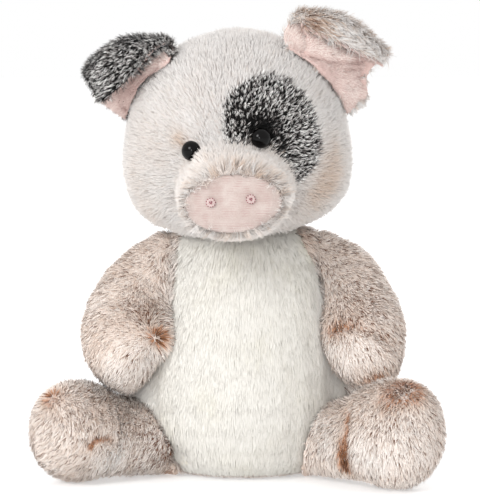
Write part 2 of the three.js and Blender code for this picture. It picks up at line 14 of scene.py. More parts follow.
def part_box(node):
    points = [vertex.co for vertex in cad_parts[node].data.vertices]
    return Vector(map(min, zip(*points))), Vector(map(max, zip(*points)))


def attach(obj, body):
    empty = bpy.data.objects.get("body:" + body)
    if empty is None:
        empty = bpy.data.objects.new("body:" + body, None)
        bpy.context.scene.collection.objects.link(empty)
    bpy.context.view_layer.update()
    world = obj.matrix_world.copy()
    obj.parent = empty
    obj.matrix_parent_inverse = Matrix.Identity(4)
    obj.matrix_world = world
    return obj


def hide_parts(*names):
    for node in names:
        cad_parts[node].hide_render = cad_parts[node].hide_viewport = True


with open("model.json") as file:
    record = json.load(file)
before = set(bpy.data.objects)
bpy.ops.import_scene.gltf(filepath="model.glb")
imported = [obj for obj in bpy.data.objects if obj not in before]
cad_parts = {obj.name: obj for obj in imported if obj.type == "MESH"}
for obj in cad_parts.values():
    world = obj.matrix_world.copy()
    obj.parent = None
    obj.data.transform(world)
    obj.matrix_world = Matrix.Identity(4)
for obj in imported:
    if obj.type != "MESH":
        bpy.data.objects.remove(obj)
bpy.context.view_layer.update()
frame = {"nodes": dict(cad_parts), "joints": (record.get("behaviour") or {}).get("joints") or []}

scene = bpy.context.scene


def mm(size):
    return size * 0.001


# The photograph's camera
VIEW_DISTANCE = mm(1800)
VIEW_TILT = math.radians(4.5)
VIEW_TARGET = Vector((mm(-1.84), 0, mm(137)))
LENS, SENSOR = 220.1, 36.0
PHOTO_WIDE, PHOTO_TALL = 480, 500
FORWARD = Vector((0, math.cos(VIEW_TILT), -math.sin(VIEW_TILT)))
UPWARD = Vector((0, math.sin(VIEW_TILT), math.cos(VIEW_TILT)))
VIEW_PLACE = VIEW_TARGET - VIEW_DISTANCE * FORWARD

# How deep the skin lies under the outside of each cover, and how coarse it is
TORSO_DEPTH, TORSO_VOXEL = mm(2.8), mm(2.5)
HEAD_DEPTH, HEAD_VOXEL = mm(3.4), mm(2.2)
ARM_DEPTH, LEG_DEPTH, LIMB_VOXEL = mm(2.6), mm(3.0), mm(2.0)
EAR_DEPTH, EAR_VOXEL = mm(0.9), mm(1.1)
LINING_DEPTH, LINING_VOXEL = mm(0.2), mm(0.9)
TAIL_DEPTH, TAIL_VOXEL = mm(1.6), mm(1.2)
PAD_VOXEL, WAD_VOXEL = mm(0.36), mm(4)

# How far a stuffing's shape is grown before it joins its skin, the backing's thickness, the lowest
# that pile and skin may reach, and the two steps of smoothing
FILL_GROWTH, BACKING_THICK = mm(0.7), mm(1.2)
FLOOR_GAP, SKIN_FLOOR = mm(0.35), mm(1.0)
STEP_IN, STEP_BACK = 0.5, -0.53

# How long the pile is
TORSO_PILE, HEAD_PILE, PATCH_PILE, LIMB_PILE, TAIL_PILE = mm(7), mm(5.4), mm(4), mm(4.3), mm(5)
RING_PILE, OUTER_PILE, LINING_PILE = mm(9.2), mm(4.6), mm(1.7)

# How full each stuffed piece is, and how much roomier than its skin the cloth step makes its cover
TORSO_ROOM, HEAD_ROOM, LIMB_ROOM = 0.035, 0.03, 0.07

# The coarse bag of the cloth step: its faces, how far it starts inside the skin, and its cloth
BAG_VOXEL, BAG_INSET = mm(5.5), mm(1.2)
BAG_MASS, BAG_STIFFNESS, BAG_PRESSURE, BAG_STEPS = 0.003, 5, 4, 20

# The snout pad's ribs and the nostrils' stitches
RIB_PITCH = mm(1.45)
STITCH_LONG, STITCH_THREAD = mm(1.5), mm(0.32)

# Places that the pile is combed from, the planes behind which the back's own pile begins, and how
# far round an eye no pile grows
TORSO_BACK, HEAD_BACK = mm(8), mm(-2)
TAIL_ROOT = (0, mm(50), mm(38))
PAD_MIDDLE = Vector((mm(-5.5), mm(-96.5), mm(171.4)))
EYE_CLEAR = mm(6.4)
HIP = Vector((mm(18), mm(4), mm(60)))
SHOULDER = Vector((mm(40), mm(2), mm(140)))

# An eye: its dome's height, its faces round and along, and its shank
EYE_DOME, EYE_TURNS, EYE_STEPS = mm(5.2), 48, 14
SHANK_RADIUS, SHANK_TIP = mm(1.8), mm(1.4)


# The studio

def photo_ray(px, py):
    """The way the camera looks through one pixel of the photograph."""
    across = (px - PHOTO_WIDE / 2) / PHOTO_WIDE * SENSOR / LENS
    up = (PHOTO_TALL / 2 - py) / PHOTO_WIDE * SENSOR / LENS
    return (FORWARD + Vector((across, 0, 0)) + UPWARD * up).normalized()


def photo_place(points):
    """The photograph's pixel columns and rows of some points."""
    away = points - np.array(VIEW_PLACE)
    scale = LENS / SENSOR * PHOTO_WIDE / (away @ np.array(FORWARD))
    return PHOTO_WIDE / 2 + away[:, 0] * scale, PHOTO_TALL / 2 - away @ np.array(UPWARD) * scale


def make_camera():
    """The photograph's camera, as far as its picture tells."""
    data = bpy.data.cameras.new("camera")
    data.lens, data.sensor_width, data.sensor_fit = LENS, SENSOR, "HORIZONTAL"
    data.clip_start, data.clip_end = 0.05, 30
    camera = bpy.data.objects.new("camera", data)
    camera.location = VIEW_PLACE
    camera.rotation_euler = (math.pi / 2 - VIEW_TILT, 0, 0)
    scene.collection.objects.link(camera)
    scene.camera = camera


def make_light(name, place, size, power):
    """A round lamp turned to the object."""
    data = bpy.data.lights.new(name, "AREA")
    data.shape, data.size, data.energy = "DISK", size, power
    lamp = bpy.data.objects.new(name, data)
    lamp.location = place
    lamp.rotation_euler = (VIEW_TARGET - Vector(place)).to_track_quat("-Z", "Y").to_euler()
    scene.collection.objects.link(lamp)


def make_studio():
    """White surroundings, three soft lamps and a pale floor."""
    world = bpy.data.worlds.new("studio")
    world.use_nodes = True
    world.node_tree.nodes["Background"].inputs["Color"].default_value = (1, 1, 1, 1)
    world.node_tree.nodes["Background"].inputs["Strength"].default_value = 1.0
    scene.world = world
    scene.view_settings.view_transform = "Standard"
    make_light("key", (-1.15, -1.8, 1.25), 0.9, 24)
    make_light("front", (-0.5, -2.3, 0.42), 0.16, 6)
    make_light("back", (1.1, 2.2, 1.2), 1.3, 20)
    side = 12
    mesh = bpy.data.meshes.new("floor")
    corners = [(-side, -side, 0), (side, -side, 0), (side, side, 0), (-side, side, 0)]
    mesh.from_pydata(corners, [], [(0, 1, 2, 3)])
    floor = bpy.data.objects.new("floor", mesh)
    scene.collection.objects.link(floor)
    paint, _, base = new_material("floor_paint", 0.9, specular=0.1)
    base.inputs["Base Color"].default_value = (0.72, 0.72, 0.72, 1)
    base.inputs["Emission Color"].default_value = (1, 1, 1, 1)
    base.inputs["Emission Strength"].default_value = 0.4
    mesh.materials.append(paint)


# Meshes

def link(name, mesh):
    obj = bpy.data.objects.new(name, mesh)
    scene.collection.objects.link(obj)
    return obj


def made_mesh(obj, name):
    """What an object's modifiers make of it, as a plain mesh. The object is removed."""
    graph = bpy.context.evaluated_depsgraph_get()
    mesh = bpy.data.meshes.new_from_object(obj.evaluated_get(graph), depsgraph=graph)
    mesh.name = name
    bpy.data.objects.remove(obj)
    return mesh


def freed(bm, mesh):
    """Writes a bmesh into a mesh, and frees it."""
    bm.to_mesh(mesh)
    bm.free()
    return mesh


def remeshed(mesh, voxel, name):
    """One even closed mesh round all the shapes in a mesh."""
    block = link(name + "_block", mesh)
    remesh = block.modifiers.new("remesh", "REMESH")
    remesh.mode, remesh.voxel_size = "VOXEL", voxel
    return made_mesh(block, name)


def welded(node, grow=0.0):
    """A copy of a CAD node's mesh with its loose triangles joined, grown along its normals."""
    bm = bmesh.new()
    bm.from_mesh(frame["nodes"][node].data)
    bmesh.ops.remove_doubles(bm, verts=bm.verts, dist=mm(0.002))
    bm.normal_update()
    for vert in bm.verts:
        vert.co += vert.normal * grow
    return freed(bm, bpy.data.meshes.new(node + "_copy"))


def joined(meshes):
    bm = bmesh.new()
    for mesh in meshes:
        bm.from_mesh(mesh)
    return freed(bm, bpy.data.meshes.new("joined"))


def biggest_island(mesh):
    """Only the largest connected part of a mesh is kept."""
    bm = bmesh.new()
    bm.from_mesh(mesh)
    seen, islands = set(), []
    for start in bm.verts:
        if start.index in seen:
            continue
        seen.add(start.index)
        stack, island = [start], []
        while stack:
            vert = stack.pop()
            island.append(vert)
            for edge in vert.link_edges:
                other = edge.other_vert(vert)
                if other.index not in seen:
                    seen.add(other.index)
                    stack.append(other)
        islands.append(island)
    islands.sort(key=len)
    bmesh.ops.delete(bm, geom=[v for island in islands[:-1] for v in island], context="VERTS")
    freed(bm, mesh)


def get_points(mesh):
    points = np.zeros(len(mesh.vertices) * 3)
    mesh.vertices.foreach_get("co", points)
    return points.reshape(-1, 3)


def set_points(mesh, points):
    mesh.vertices.foreach_set("co", np.asarray(points, np.float32).ravel())
    mesh.update()


def get_normals(mesh):
    normals = np.zeros(len(mesh.vertices) * 3)
    mesh.vertex_normals.foreach_get("vector", normals)
    return normals.reshape(-1, 3)


def get_edges(mesh):
    edges = np.zeros(len(mesh.edges) * 2, int)
    mesh.edges.foreach_get("vertices", edges)
    return edges.reshape(-1, 2)


def neighbour_mean(values, edges):
    """The mean of each point's neighbours, one row for each point."""
    a, b = edges.T
    count = len(values)
    share = np.bincount(a, minlength=count) + np.bincount(b, minlength=count)
    total = [np.bincount(a, column[b], count) + np.bincount(b, column[a], count)
             for column in values.T]
    return np.stack(total, 1) / np.maximum(share, 1)[:, None]


def smoothed(values, edges, rounds, back=STEP_BACK):
    """Evens values out over a mesh; the step back keeps a shape from shrinking."""
    for _ in range(rounds):
        values = values + STEP_IN * (neighbour_mean(values, edges) - values)
        if back:
            values = values + back * (neighbour_mean(values, edges) - values)
    return values


def evened(mesh, rounds):
    """Smooths a mesh, and gives its points."""
    points = smoothed(get_points(mesh), get_edges(mesh), rounds)
    set_points(mesh, points)
    return points


def unit(vectors):
    return vectors / np.maximum(np.linalg.norm(vectors, axis=1), 1e-9)[:, None]


def along(vectors, normals):
    """The unit part of each vector that lies in the skin."""
    vectors = np.broadcast_to(np.asarray(vectors, float), normals.shape)
    return unit(vectors - (vectors * normals).sum(1)[:, None] * normals)


def lumps(points, size, seed):
    """Soft noise from -1 to 1 with lumps about that size."""
    return np.array([lump_noise(Vector(p) / size + Vector((seed, 2 * seed, 3))) for p in points])


def faded(far, size):
    """1 where a distance is nothing, and less the greater it is. The size is in millimetres."""
    return np.exp(-(far / mm(size)) ** 2)


def tree_of(mesh):
    points = [v.co for v in mesh.vertices]
    return BVHTree.FromPolygons(points, [tuple(p.vertices) for p in mesh.polygons])


def nearest_on(mesh, points):
    """The nearest place on a mesh to each point, and how far off it is."""
    hits = [tree.find_nearest(Vector(p)) for tree in [tree_of(mesh)] for p in points]
    return np.array([hit[0] for hit in hits]), np.array([hit[3] for hit in hits])


# Skins

class Skin:
    """The closed skin of one body, with what grows on it, one value for each point."""

    def __init__(self, body, covers, fills, voxel, depth, rounds=6):
        self.body, self.covers = body, covers
        shells = [welded(n) for n in covers] + [welded(n, FILL_GROWTH) for n in fills]
        self.mesh = remeshed(joined(shells), voxel, body + "_skin")
        biggest_island(self.mesh)
        self.edges = get_edges(self.mesh)
        self.outside = evened(self.mesh, rounds)
        gaps = [nearest_on(shell, self.outside)[1] for shell in shells[:len(covers)]]
        self.cover = np.argmin(gaps, axis=0)
        self.reshape(smoothed(self.outside - get_normals(self.mesh) * depth, self.edges, 2))
        self.comb = np.zeros_like(self.points)
        count = len(self.points)
        self.all = np.ones(count, bool)
        self.long, self.tone = np.zeros(count), np.full(count, 0.5)
        self.thick, self.curl, self.dash = np.ones(count), np.ones(count), np.ones(count)

    def refresh(self):
        self.points, self.normals = get_points(self.mesh), get_normals(self.mesh)
        self.tree = tree_of(self.mesh)

    def spot(self, px, py):
        """The place on the skin that the photograph shows at a pixel."""
        hit = self.tree.ray_cast(VIEW_PLACE, photo_ray(px, py))[0]
        if hit is None:
            near = VIEW_PLACE + photo_ray(px, py) * VIEW_DISTANCE
            hit = self.tree.find_nearest(near)[0]
        return np.array(hit)

    def far(self, place):
        return np.linalg.norm(self.points - np.array(place), axis=1)

    def on(self, cover):
        return self.cover == self.covers.index(cover)

    def fade(self, place, size):
        """For each point, 1 at a place and less the farther it is. The size is in millimetres."""
        return faded(self.far(place), size)

    def fade_at(self, px, py, size):
        return self.fade(self.spot(px, py), size)

    def swell(self, rows):
        """Moves the skin out, or in, round places that the photograph shows: x, y, size, by."""
        for px, py, size, by in rows:
            pull = self.fade_at(px, py, size) * mm(by)
            self.points = self.points + self.normals * pull[:, None]
        self.reshape(self.points)

    def nudge(self, rows):
        """Moves round places by millimetres along the frame's axes: x, y, size, then the three."""
        for px, py, size, *way in rows:
            pull = self.fade_at(px, py, size)[:, None]
            self.points = self.points + pull * np.array(way) * mm(1)
        self.reshape(self.points)

    def creases(self, folds):
        """Folds that pull the skin in along lines of pixels, with painted shade darkening the pile in
        them.
        """
        for line, width, deep, shift in folds:
            ends = [self.spot(*place) for place in line]
            steps = [a + (b - a) * k / 12 for a, b in zip(ends, ends[1:]) for k in range(13)]
            pull = faded(np.min([self.far(step) for step in steps], axis=0), width)
            self.tone += shift * pull
            self.reshape(self.points - self.normals * (pull * mm(deep))[:, None])

    def reshape(self, points):
        """Gives the skin new points, none of them below its floor."""
        points = np.array(points)
        points[:, 2] = np.maximum(points[:, 2], SKIN_FLOOR)
        set_points(self.mesh, points)
        self.refresh()

    def plump(self, room, most=mm(2.0)):
        """Lets the stuffed cover swell and pucker: a coarse copy, blown up as cloth, moves the skin."""
        coarse = remeshed(self.mesh.copy(), BAG_VOXEL, self.body + "_coarse")
        points = evened(coarse, 3)
        set_points(coarse, points - get_normals(coarse) * BAG_INSET)
        bag = link(self.body + "_bag", coarse)
        cloth = bag.modifiers.new("cloth", "CLOTH").settings
        cloth.mass = BAG_MASS
        cloth.tension_stiffness = cloth.compression_stiffness = BAG_STIFFNESS
        cloth.shrink_min = -room
        cloth.use_pressure, cloth.uniform_pressure_force = True, BAG_PRESSURE
        cloth.effector_weights.gravity = 0
        start = scene.frame_current
        for step in range(1, BAG_STEPS + 1):
            scene.frame_set(step)
        blown = made_mesh(bag, self.body + "_blown")
        scene.frame_set(start)
        shift = get_points(blown) - points
        shift *= np.minimum(1, most / np.maximum(np.linalg.norm(shift, axis=1), 1e-9))[:, None]
        shift = np.round(smoothed(shift, get_edges(blown), 1, back=0), 5)
        near = KDTree(len(points))
        for number, point in enumerate(points):
            near.insert(point, number)
        near.balance()
        moved = np.empty_like(self.points)
        for number, point in enumerate(self.points):
            found = near.find_n(point, 4)
            share = np.array([1 / (hit[2] + mm(0.5)) for hit in found])
            moved[number] = (shift[[hit[1] for hit in found]] * share[:, None]).sum(0) / share.sum()
        self.reshape(self.points + moved)

    def mottle(self, *rows):
        """Uneven tone in lumps. A row is their size in millimetres, how strong, and a seed."""
        for size, by, seed in rows:
            self.tone += by * lumps(self.points, mm(size), seed)

    def stains_and_painted_light(self, rows):
        """Soft round spots where the pile's tone is shifted, for stains and for painted light and
        shade: x, y, size, by.
        """
        for px, py, size, shift in rows:
            self.tone += shift * self.fade_at(px, py, size)

    def thicken_dashes(self, rows):
        """Round places where more of the dark strands show among the pale ones."""
        for px, py, size, more in rows:
            self.dash += more * self.fade_at(px, py, size)

    def lengthen(self, near, longer, curl=0.0):
        """Pile longer by some millimetres, and more upright, by how near each point is."""
        self.long += mm(longer) * near
        self.curl += curl * near

    def away(self, place):
        return along(self.points - np.array(place), self.normals)

    def fan(self, place, reach):
        """Combing away from a place, strong within reach of it."""
        pull = self.fade(place, reach)[:, None]
        strong = np.linalg.norm(self.comb, axis=1)[:, None]
        self.comb = self.comb * (1 - pull) + self.away(place) * pull * strong

    def reach(self, sources):
        """How far each point is from the sources, measured along the skin."""
        near = [[] for _ in self.points]
        pairs = [tuple(e) for e in self.edges]
        for poly in self.mesh.polygons:
            v = poly.vertices
            if len(v) == 4:
                pairs += [(v[0], v[2]), (v[1], v[3])]
        for a, b in pairs:
            gap = float(np.linalg.norm(self.points[a] - self.points[b]))
            near[a].append((b, gap))
            near[b].append((a, gap))
        far = np.full(len(self.points), 1e9)
        far[sources] = 0
        queue = [(0.0, int(s)) for s in sources]
        while queue:
            d, a = heapq.heappop(queue)
            if d > far[a]:
                continue
            for b, gap in near[a]:
                if d + gap < far[b]:
                    far[b] = d + gap
                    heapq.heappush(queue, (d + gap, b))
        return far

    def flow(self, far):
        """The way along the skin in which a distance grows."""
        a, b = self.edges.T
        step = self.points[b] - self.points[a]
        push = step * ((far[b] - far[a]) / np.maximum((step ** 2).sum(1), 1e-12))[:, None]
        total = np.stack([np.bincount(a, push[:, k], len(far)) + np.bincount(b, push[:, k], len(far))
                          for k in range(3)], 1)
        return along(smoothed(total, self.edges, 12, back=0), self.normals)

    def panel(self, name, keep):
        """The part of the skin whose faces are kept, with what grows there."""
        mesh = self.mesh.copy()
        mesh.name = name
        for label, kind, values in (
                ("skin_up", "FLOAT_VECTOR", self.normals), ("skin_comb", "FLOAT_VECTOR", self.comb),
                ("skin_long", "FLOAT", self.long), ("skin_thick", "FLOAT", self.thick),
                ("skin_curl", "FLOAT", self.curl), ("skin_dash", "FLOAT", self.dash),
                ("skin_tone", "FLOAT", np.clip(self.tone, -1.5, 1.2))):
            layer = mesh.attributes.new(label, kind, "POINT")
            field = "vector" if kind == "FLOAT_VECTOR" else "value"
            layer.data.foreach_set(field, np.asarray(values, np.float32).ravel())
        bm = bmesh.new()
        bm.from_mesh(mesh)
        drop = [f for f in bm.faces if not keep[[v.index for v in f.verts]].mean() >= 0.5]
        bmesh.ops.delete(bm, geom=drop, context="FACES")
        return freed(bm, mesh)


# Node trees

class Steps:
    """Adds nodes to a tree and links them, so that a tree reads as a list of steps."""

    def __init__(self, tree):
        self.tree = tree

    def add(self, kind, *values, **settings):
        node = self.tree.nodes.new(kind)
        for name, value in settings.items():
            setattr(node, name, value)
        for socket, value in zip([s for s in node.inputs if s.enabled], values):
            self.plug(socket, value)
        return node

    def plug(self, socket, value):
        if isinstance(value, bpy.types.NodeSocket):
            self.tree.links.new(value, socket)
        elif value is not None:
            socket.default_value = value

    def out(self, kind, *values, **settings):
        node = self.add(kind, *values, **settings)
        return [s for s in node.outputs if s.enabled][0]

    def noise(self, place, scale, detail=2.0):
        node = self.add("ShaderNodeTexNoise", place)
        node.inputs["Scale"].default_value = scale
        node.inputs["Detail"].default_value = detail
        return node

    def math(self, operation, *values):
        return self.out("ShaderNodeMath", *values, operation=operation)

    def vector(self, operation, *values):
        return self.out("ShaderNodeVectorMath", *values, operation=operation)

    def scale(self, vector, by):
        return self.out("ShaderNodeVectorMath", vector, by, operation="SCALE")

    def plus(self, first, *others):
        for other in others:
            first = self.vector("ADD", first, other)
        return first


class Tree(Steps):
    """A Geometry Nodes tree with named inputs."""

    def __init__(self, name):
        super().__init__(bpy.data.node_groups.new(name, "GeometryNodeTree"))
        self.sockets = {}
        self.tree.interface.new_socket("Geometry", in_out="OUTPUT", socket_type="NodeSocketGeometry")
        self.entry = None

    def inputs(self, **kinds):
        for name, kind in kinds.items():
            item = self.tree.interface.new_socket(
                name, in_out="INPUT", socket_type="NodeSocket" + kind)
            self.sockets[name] = item.identifier
        self.entry = self.tree.nodes.new("NodeGroupInput")
        return [self.entry.outputs[name] for name in kinds]

    def attribute(self, name, kind="FLOAT"):
        return self.out("GeometryNodeInputNamedAttribute", name, data_type=kind)

    def store(self, geometry, name, value, kind="FLOAT", domain="POINT"):
        return self.out("GeometryNodeStoreNamedAttribute", geometry, True, name, value,
                        data_type=kind, domain=domain)

    def random(self, low, high, seed, key=None, kind="FLOAT"):
        return self.out("FunctionNodeRandomValue", low, high, key, seed, data_type=kind)

    def finish(self, geometry):
        exit_node = self.tree.nodes.new("NodeGroupOutput")
        self.tree.links.new(geometry, exit_node.inputs[0])

    def apply(self, mesh, name, **values):
        """Runs the tree on a mesh, and gives the result as a plain mesh."""
        obj = link(name, mesh)
        run = obj.modifiers.new(self.tree.name, "NODES")
        run.node_group = self.tree
        for key, value in values.items():
            run[self.sockets[key]] = value
        return made_mesh(obj, name)


def make_pile_tree():
    """Strands of pile on a skin: bent ribbons, combed, and drawn together into locks."""
    t = Tree("pile")
    (skin, density, lock, width, segments, pull, ruffle, stray, lean, lift, swatch, dash, drop, seed,
     material) = t.inputs(
        Skin="Geometry", Density="Float", Lock="Float", Width="Float", Segments="Int", Pull="Float",
        Ruffle="Float", Stray="Float", Lean="Float", Lift="Float", Swatch="Float", Dash="Float",
        Drop="Float", Seed="Int", Material="Material")
    thick = t.attribute("skin_thick")
    grow = t.add("GeometryNodeDistributePointsOnFaces", skin, True, None, distribute_method="RANDOM")
    t.plug(grow.inputs["Density"], t.math("MULTIPLY", density, thick))
    t.plug(grow.inputs["Seed"], seed)
    locks = t.add("GeometryNodeDistributePointsOnFaces", skin, distribute_method="POISSON")
    t.plug(locks.inputs["Distance Min"], lock)
    t.plug(locks.inputs["Density Max"], t.math("DIVIDE", 2.0, t.math("MULTIPLY", lock, lock)))
    t.plug(locks.inputs["Seed"], seed)

    root = t.out("GeometryNodeInputPosition")
    up = t.vector("NORMALIZE", t.attribute("skin_up", "FLOAT_VECTOR"))
    comb = t.attribute("skin_comb", "FLOAT_VECTOR")
    near = t.out("GeometryNodeSampleNearest", locks.outputs["Points"], root)
    middle = t.out("GeometryNodeSampleIndex", locks.outputs["Points"], root, near,
                   data_type="FLOAT_VECTOR")
    ones, minus = (1.0, 1.0, 1.0), (-1.0, -1.0, -1.0)
    lock_way = t.random(minus, ones, 11, near, "FLOAT_VECTOR")
    lock_tone = t.random(-1.0, 1.0, 12, near)
    strand_way = t.random(minus, ones, 13, None, "FLOAT_VECTOR")
    wave = t.noise(root, 90.0, 1.0)
    wave_way = t.scale(t.vector("SUBTRACT", wave.outputs["Color"], (0.5, 0.5, 0.5)), 3.0)
    length = t.math("MULTIPLY", t.attribute("skin_long"), t.random(0.72, 1.1, 14))
    half = t.math("MULTIPLY", length, 0.5)
    messy = t.plus(t.scale(wave_way, ruffle), t.scale(lock_way, stray), t.scale(strand_way, 0.22))
    first = t.vector("NORMALIZE", t.plus(up, t.scale(comb, lean), t.scale(messy, 0.4)))
    stand = t.math("MULTIPLY", lift, t.attribute("skin_curl"))
    second = t.vector("NORMALIZE", t.plus(t.scale(up, stand), comb, messy))
    bend = t.scale(first, half)
    gather = t.math("MULTIPLY", pull, t.random(0.45, 1.0, 15))
    tip = t.plus(bend, t.scale(second, half), t.scale(t.vector("SUBTRACT", middle, root), gather))
    turn = t.plus(up, t.scale(t.random(minus, ones, 16, None, "FLOAT_VECTOR"), 0.55))
    side = t.vector("NORMALIZE", t.vector("CROSS_PRODUCT", t.vector("NORMALIZE", tip), turn))
    shade = t.math("ADD", t.attribute("skin_tone"), t.math("MULTIPLY", lock_tone, swatch))
    shade = t.math("ADD", shade, t.math("MULTIPLY", t.random(-1.0, 1.0, 17), t.math(
        "MULTIPLY", swatch, 0.7)))
    dark = t.math("LESS_THAN", t.random(0.0, 1.0, 19), t.math(
        "MULTIPLY", dash, t.attribute("skin_dash")))
    shade = t.math("MULTIPLY", shade, t.math("SUBTRACT", 1.0, t.math("MULTIPLY", drop, dark)))
    shade = t.out("ShaderNodeClamp", shade, 0.02, 0.98)

    strands = grow.outputs["Points"]
    for name, value in (("strand_root", root), ("strand_bend", bend), ("strand_tip", tip),
                        ("strand_side", side), ("strand_up", up)):
        strands = t.store(strands, name, value, "FLOAT_VECTOR")
    strands = t.store(strands, "strand_tone", shade)
    wide = t.math("MULTIPLY", width, t.math("ADD", 1.0, t.math("MULTIPLY", dark, 0.3)))
    strands = t.store(strands, "strand_wide", t.math("MULTIPLY", wide, t.random(0.7, 1.25, 18)))
    ribbon = t.out("GeometryNodeMeshGrid", 1.0, 1.0, 2, t.math("ADD", segments, 1))
    flat = t.out("GeometryNodeInputPosition")
    ribbon = t.store(ribbon, "strand_place", flat, "FLOAT_VECTOR")
    grown = t.out("GeometryNodeInstanceOnPoints", strands, True, ribbon)
    grown = t.out("GeometryNodeRealizeInstances", grown)

    place = t.add("ShaderNodeSeparateXYZ", t.attribute("strand_place", "FLOAT_VECTOR"))
    v = t.math("ADD", place.outputs["Y"], 0.5)
    v2 = t.math("MULTIPLY", v, v)
    bow = t.math("MULTIPLY", 2.0, t.math("SUBTRACT", v, v2))
    narrow = t.math("SUBTRACT", 1.0, t.math("MULTIPLY", v2, 0.8))
    across = t.math("MULTIPLY", place.outputs["X"], t.math(
        "MULTIPLY", narrow, t.attribute("strand_wide")))
    spot = t.plus(t.attribute("strand_root", "FLOAT_VECTOR"),
                  t.scale(t.attribute("strand_bend", "FLOAT_VECTOR"), bow),
                  t.scale(t.attribute("strand_tip", "FLOAT_VECTOR"), v2),
                  t.scale(t.attribute("strand_side", "FLOAT_VECTOR"), across))
    parts = t.add("ShaderNodeSeparateXYZ", spot)
    height = t.math("MAXIMUM", parts.outputs["Z"], FLOOR_GAP)
    spot = t.out("ShaderNodeCombineXYZ", parts.outputs["X"], parts.outputs["Y"], height)
    grown = t.out("GeometryNodeSetPosition", grown, True, spot)
    swatch_uv = t.out("ShaderNodeCombineXYZ", t.attribute("strand_tone"), v, 0.0)
    grown = t.store(grown, "OFBake", swatch_uv, "FLOAT2", "CORNER")
    grown = t.out("GeometryNodeSetMaterial", grown, True, material)
    t.finish(grown)
    return t


# Materials

def colour(red, green, blue):
    """A screen colour from 0 to 255, as the light that Blender works with."""
    def light(c):
        c /= 255
        return c / 12.92 if c <= 0.04045 else ((c + 0.055) / 1.055) ** 2.4
    return (light(red), light(green), light(blue), 1.0)


def new_material(name, roughness, sheen=0.0, specular=0.3):
    """A material with its list of steps and its shader."""
    material = bpy.data.materials.new(name)
    material.use_nodes = True
    shader = material.node_tree.nodes["Principled BSDF"]
    shader.inputs["Roughness"].default_value = roughness
    shader.inputs["Specular IOR Level"].default_value = specular
    shader.inputs["Sheen Weight"].default_value = sheen
    shader.inputs["Sheen Roughness"].default_value = 0.45
    return material, Steps(material.node_tree), shader


def ramp(steps, factor, stops):
    """Colours that turn into one another as a factor rises: each stop is a place and a colour."""
    node = steps.add("ShaderNodeValToRGB", factor)
    bar = node.color_ramp.elements
    while len(bar) < len(stops):
        bar.new(0.5)
    for element, (place, shade) in zip(bar, stops):
        element.position, element.color = place, colour(*shade)
    return node.outputs["Color"]


def mixed(steps, factor, first, second):
    """The first colour at a factor of 0, the second at 1."""
    node = steps.add("ShaderNodeMix", data_type="RGBA")
    steps.plug(node.inputs["Factor"], factor)
    steps.plug(node.inputs[6], first)
    steps.plug(node.inputs[7], second)
    return node.outputs[2]


def bumped(steps, shader, height, distance, strength=1.0):
    """Shades a surface as if it rose by a distance where height is 1."""
    node = steps.add("ShaderNodeBump")
    steps.plug(node.inputs["Height"], height)
    node.inputs["Distance"].default_value = distance
    node.inputs["Strength"].default_value = strength
    steps.plug(shader.inputs["Normal"], node.outputs["Normal"])


# Each pile's colours by tone, from dark to pale: the tone, the root's and the tip's colour. Stains,
# dark strands and painted shade all lower the tone.
# The pair of heights says where along a strand the one turns into the other.
PALETTES = {
    "tan_pile": (((0.0, (58, 34, 20), (94, 60, 40)), (0.15, (158, 92, 56), (208, 148, 108)),
                  (0.35, (213, 183, 161), (240, 223, 210)), (0.6, (248, 238, 230), (252, 243, 236)),
                  (1.0, (252, 247, 242), (254, 250, 246))), (0.0, 0.3)),
    "cream_pile": (((0.0, (84, 60, 48), (140, 108, 92)), (0.2, (150, 116, 92), (210, 186, 167)),
                    (0.4, (200, 188, 180), (222, 214, 208)), (0.55, (224, 220, 217), (226, 222, 219)),
                    (1.0, (238, 236, 233), (241, 239, 237))), (0.0, 0.35)),
    "ivory_pile": (((0.0, (176, 164, 132), (210, 202, 178)), (0.3, (216, 210, 190), (228, 224, 208)),
                    (0.55, (229, 226, 218), (229, 226, 219)), (1.0, (235, 233, 229), (236, 234, 230))),
                   (0.0, 0.4)),
    "charcoal_pile": (((0.0, (3, 3, 3), (8, 7, 7)), (0.3, (6, 5, 5), (58, 52, 50)),
                       (0.55, (12, 10, 10), (186, 178, 175)), (1.0, (34, 30, 28), (255, 254, 251))),
                      (0.25, 0.75)),
    "pink_velour": (((0.0, (138, 92, 88), (172, 130, 124)), (0.3, (188, 156, 150), (214, 188, 181)),
                     (0.55, (214, 188, 181), (232, 210, 203)), (1.0, (238, 221, 214), (247, 236, 229))),
                    (0.0, 0.6)),
}
# The backing's two shades
BACKINGS = {
    "tan_pile": ((214, 194, 180), (240, 229, 221)), "cream_pile": ((214, 202, 195), (230, 224, 220)),
    "ivory_pile": ((232, 227, 214), (242, 238, 231)), "charcoal_pile": ((5, 4, 4), (18, 16, 15)),
    "pink_velour": ((200, 170, 163), (220, 194, 187))}


def pile_material(slot):
    """Pile whose colour runs from root to tip; the tone across it is the map's other way."""
    material, steps, shader = new_material(slot + "_strands", 0.85, sheen=0.25, specular=0.2)
    where = steps.add("ShaderNodeUVMap", uv_map="OFBake").outputs["UV"]
    parts = steps.add("ShaderNodeSeparateXYZ", where)
    tone, height = parts.outputs["X"], parts.outputs["Y"]
    shades, (start, end) = PALETTES[slot]
    low = ramp(steps, tone, [(place, root) for place, root, tip in shades])
    high = ramp(steps, tone, [(place, tip) for place, root, tip in shades])
    rise = steps.add("ShaderNodeMapRange", height, start, end, 0.0, 1.0,
                     interpolation_type="SMOOTHSTEP")
    steps.plug(shader.inputs["Base Color"], mixed(steps, rise.outputs[0], low, high))
    return material


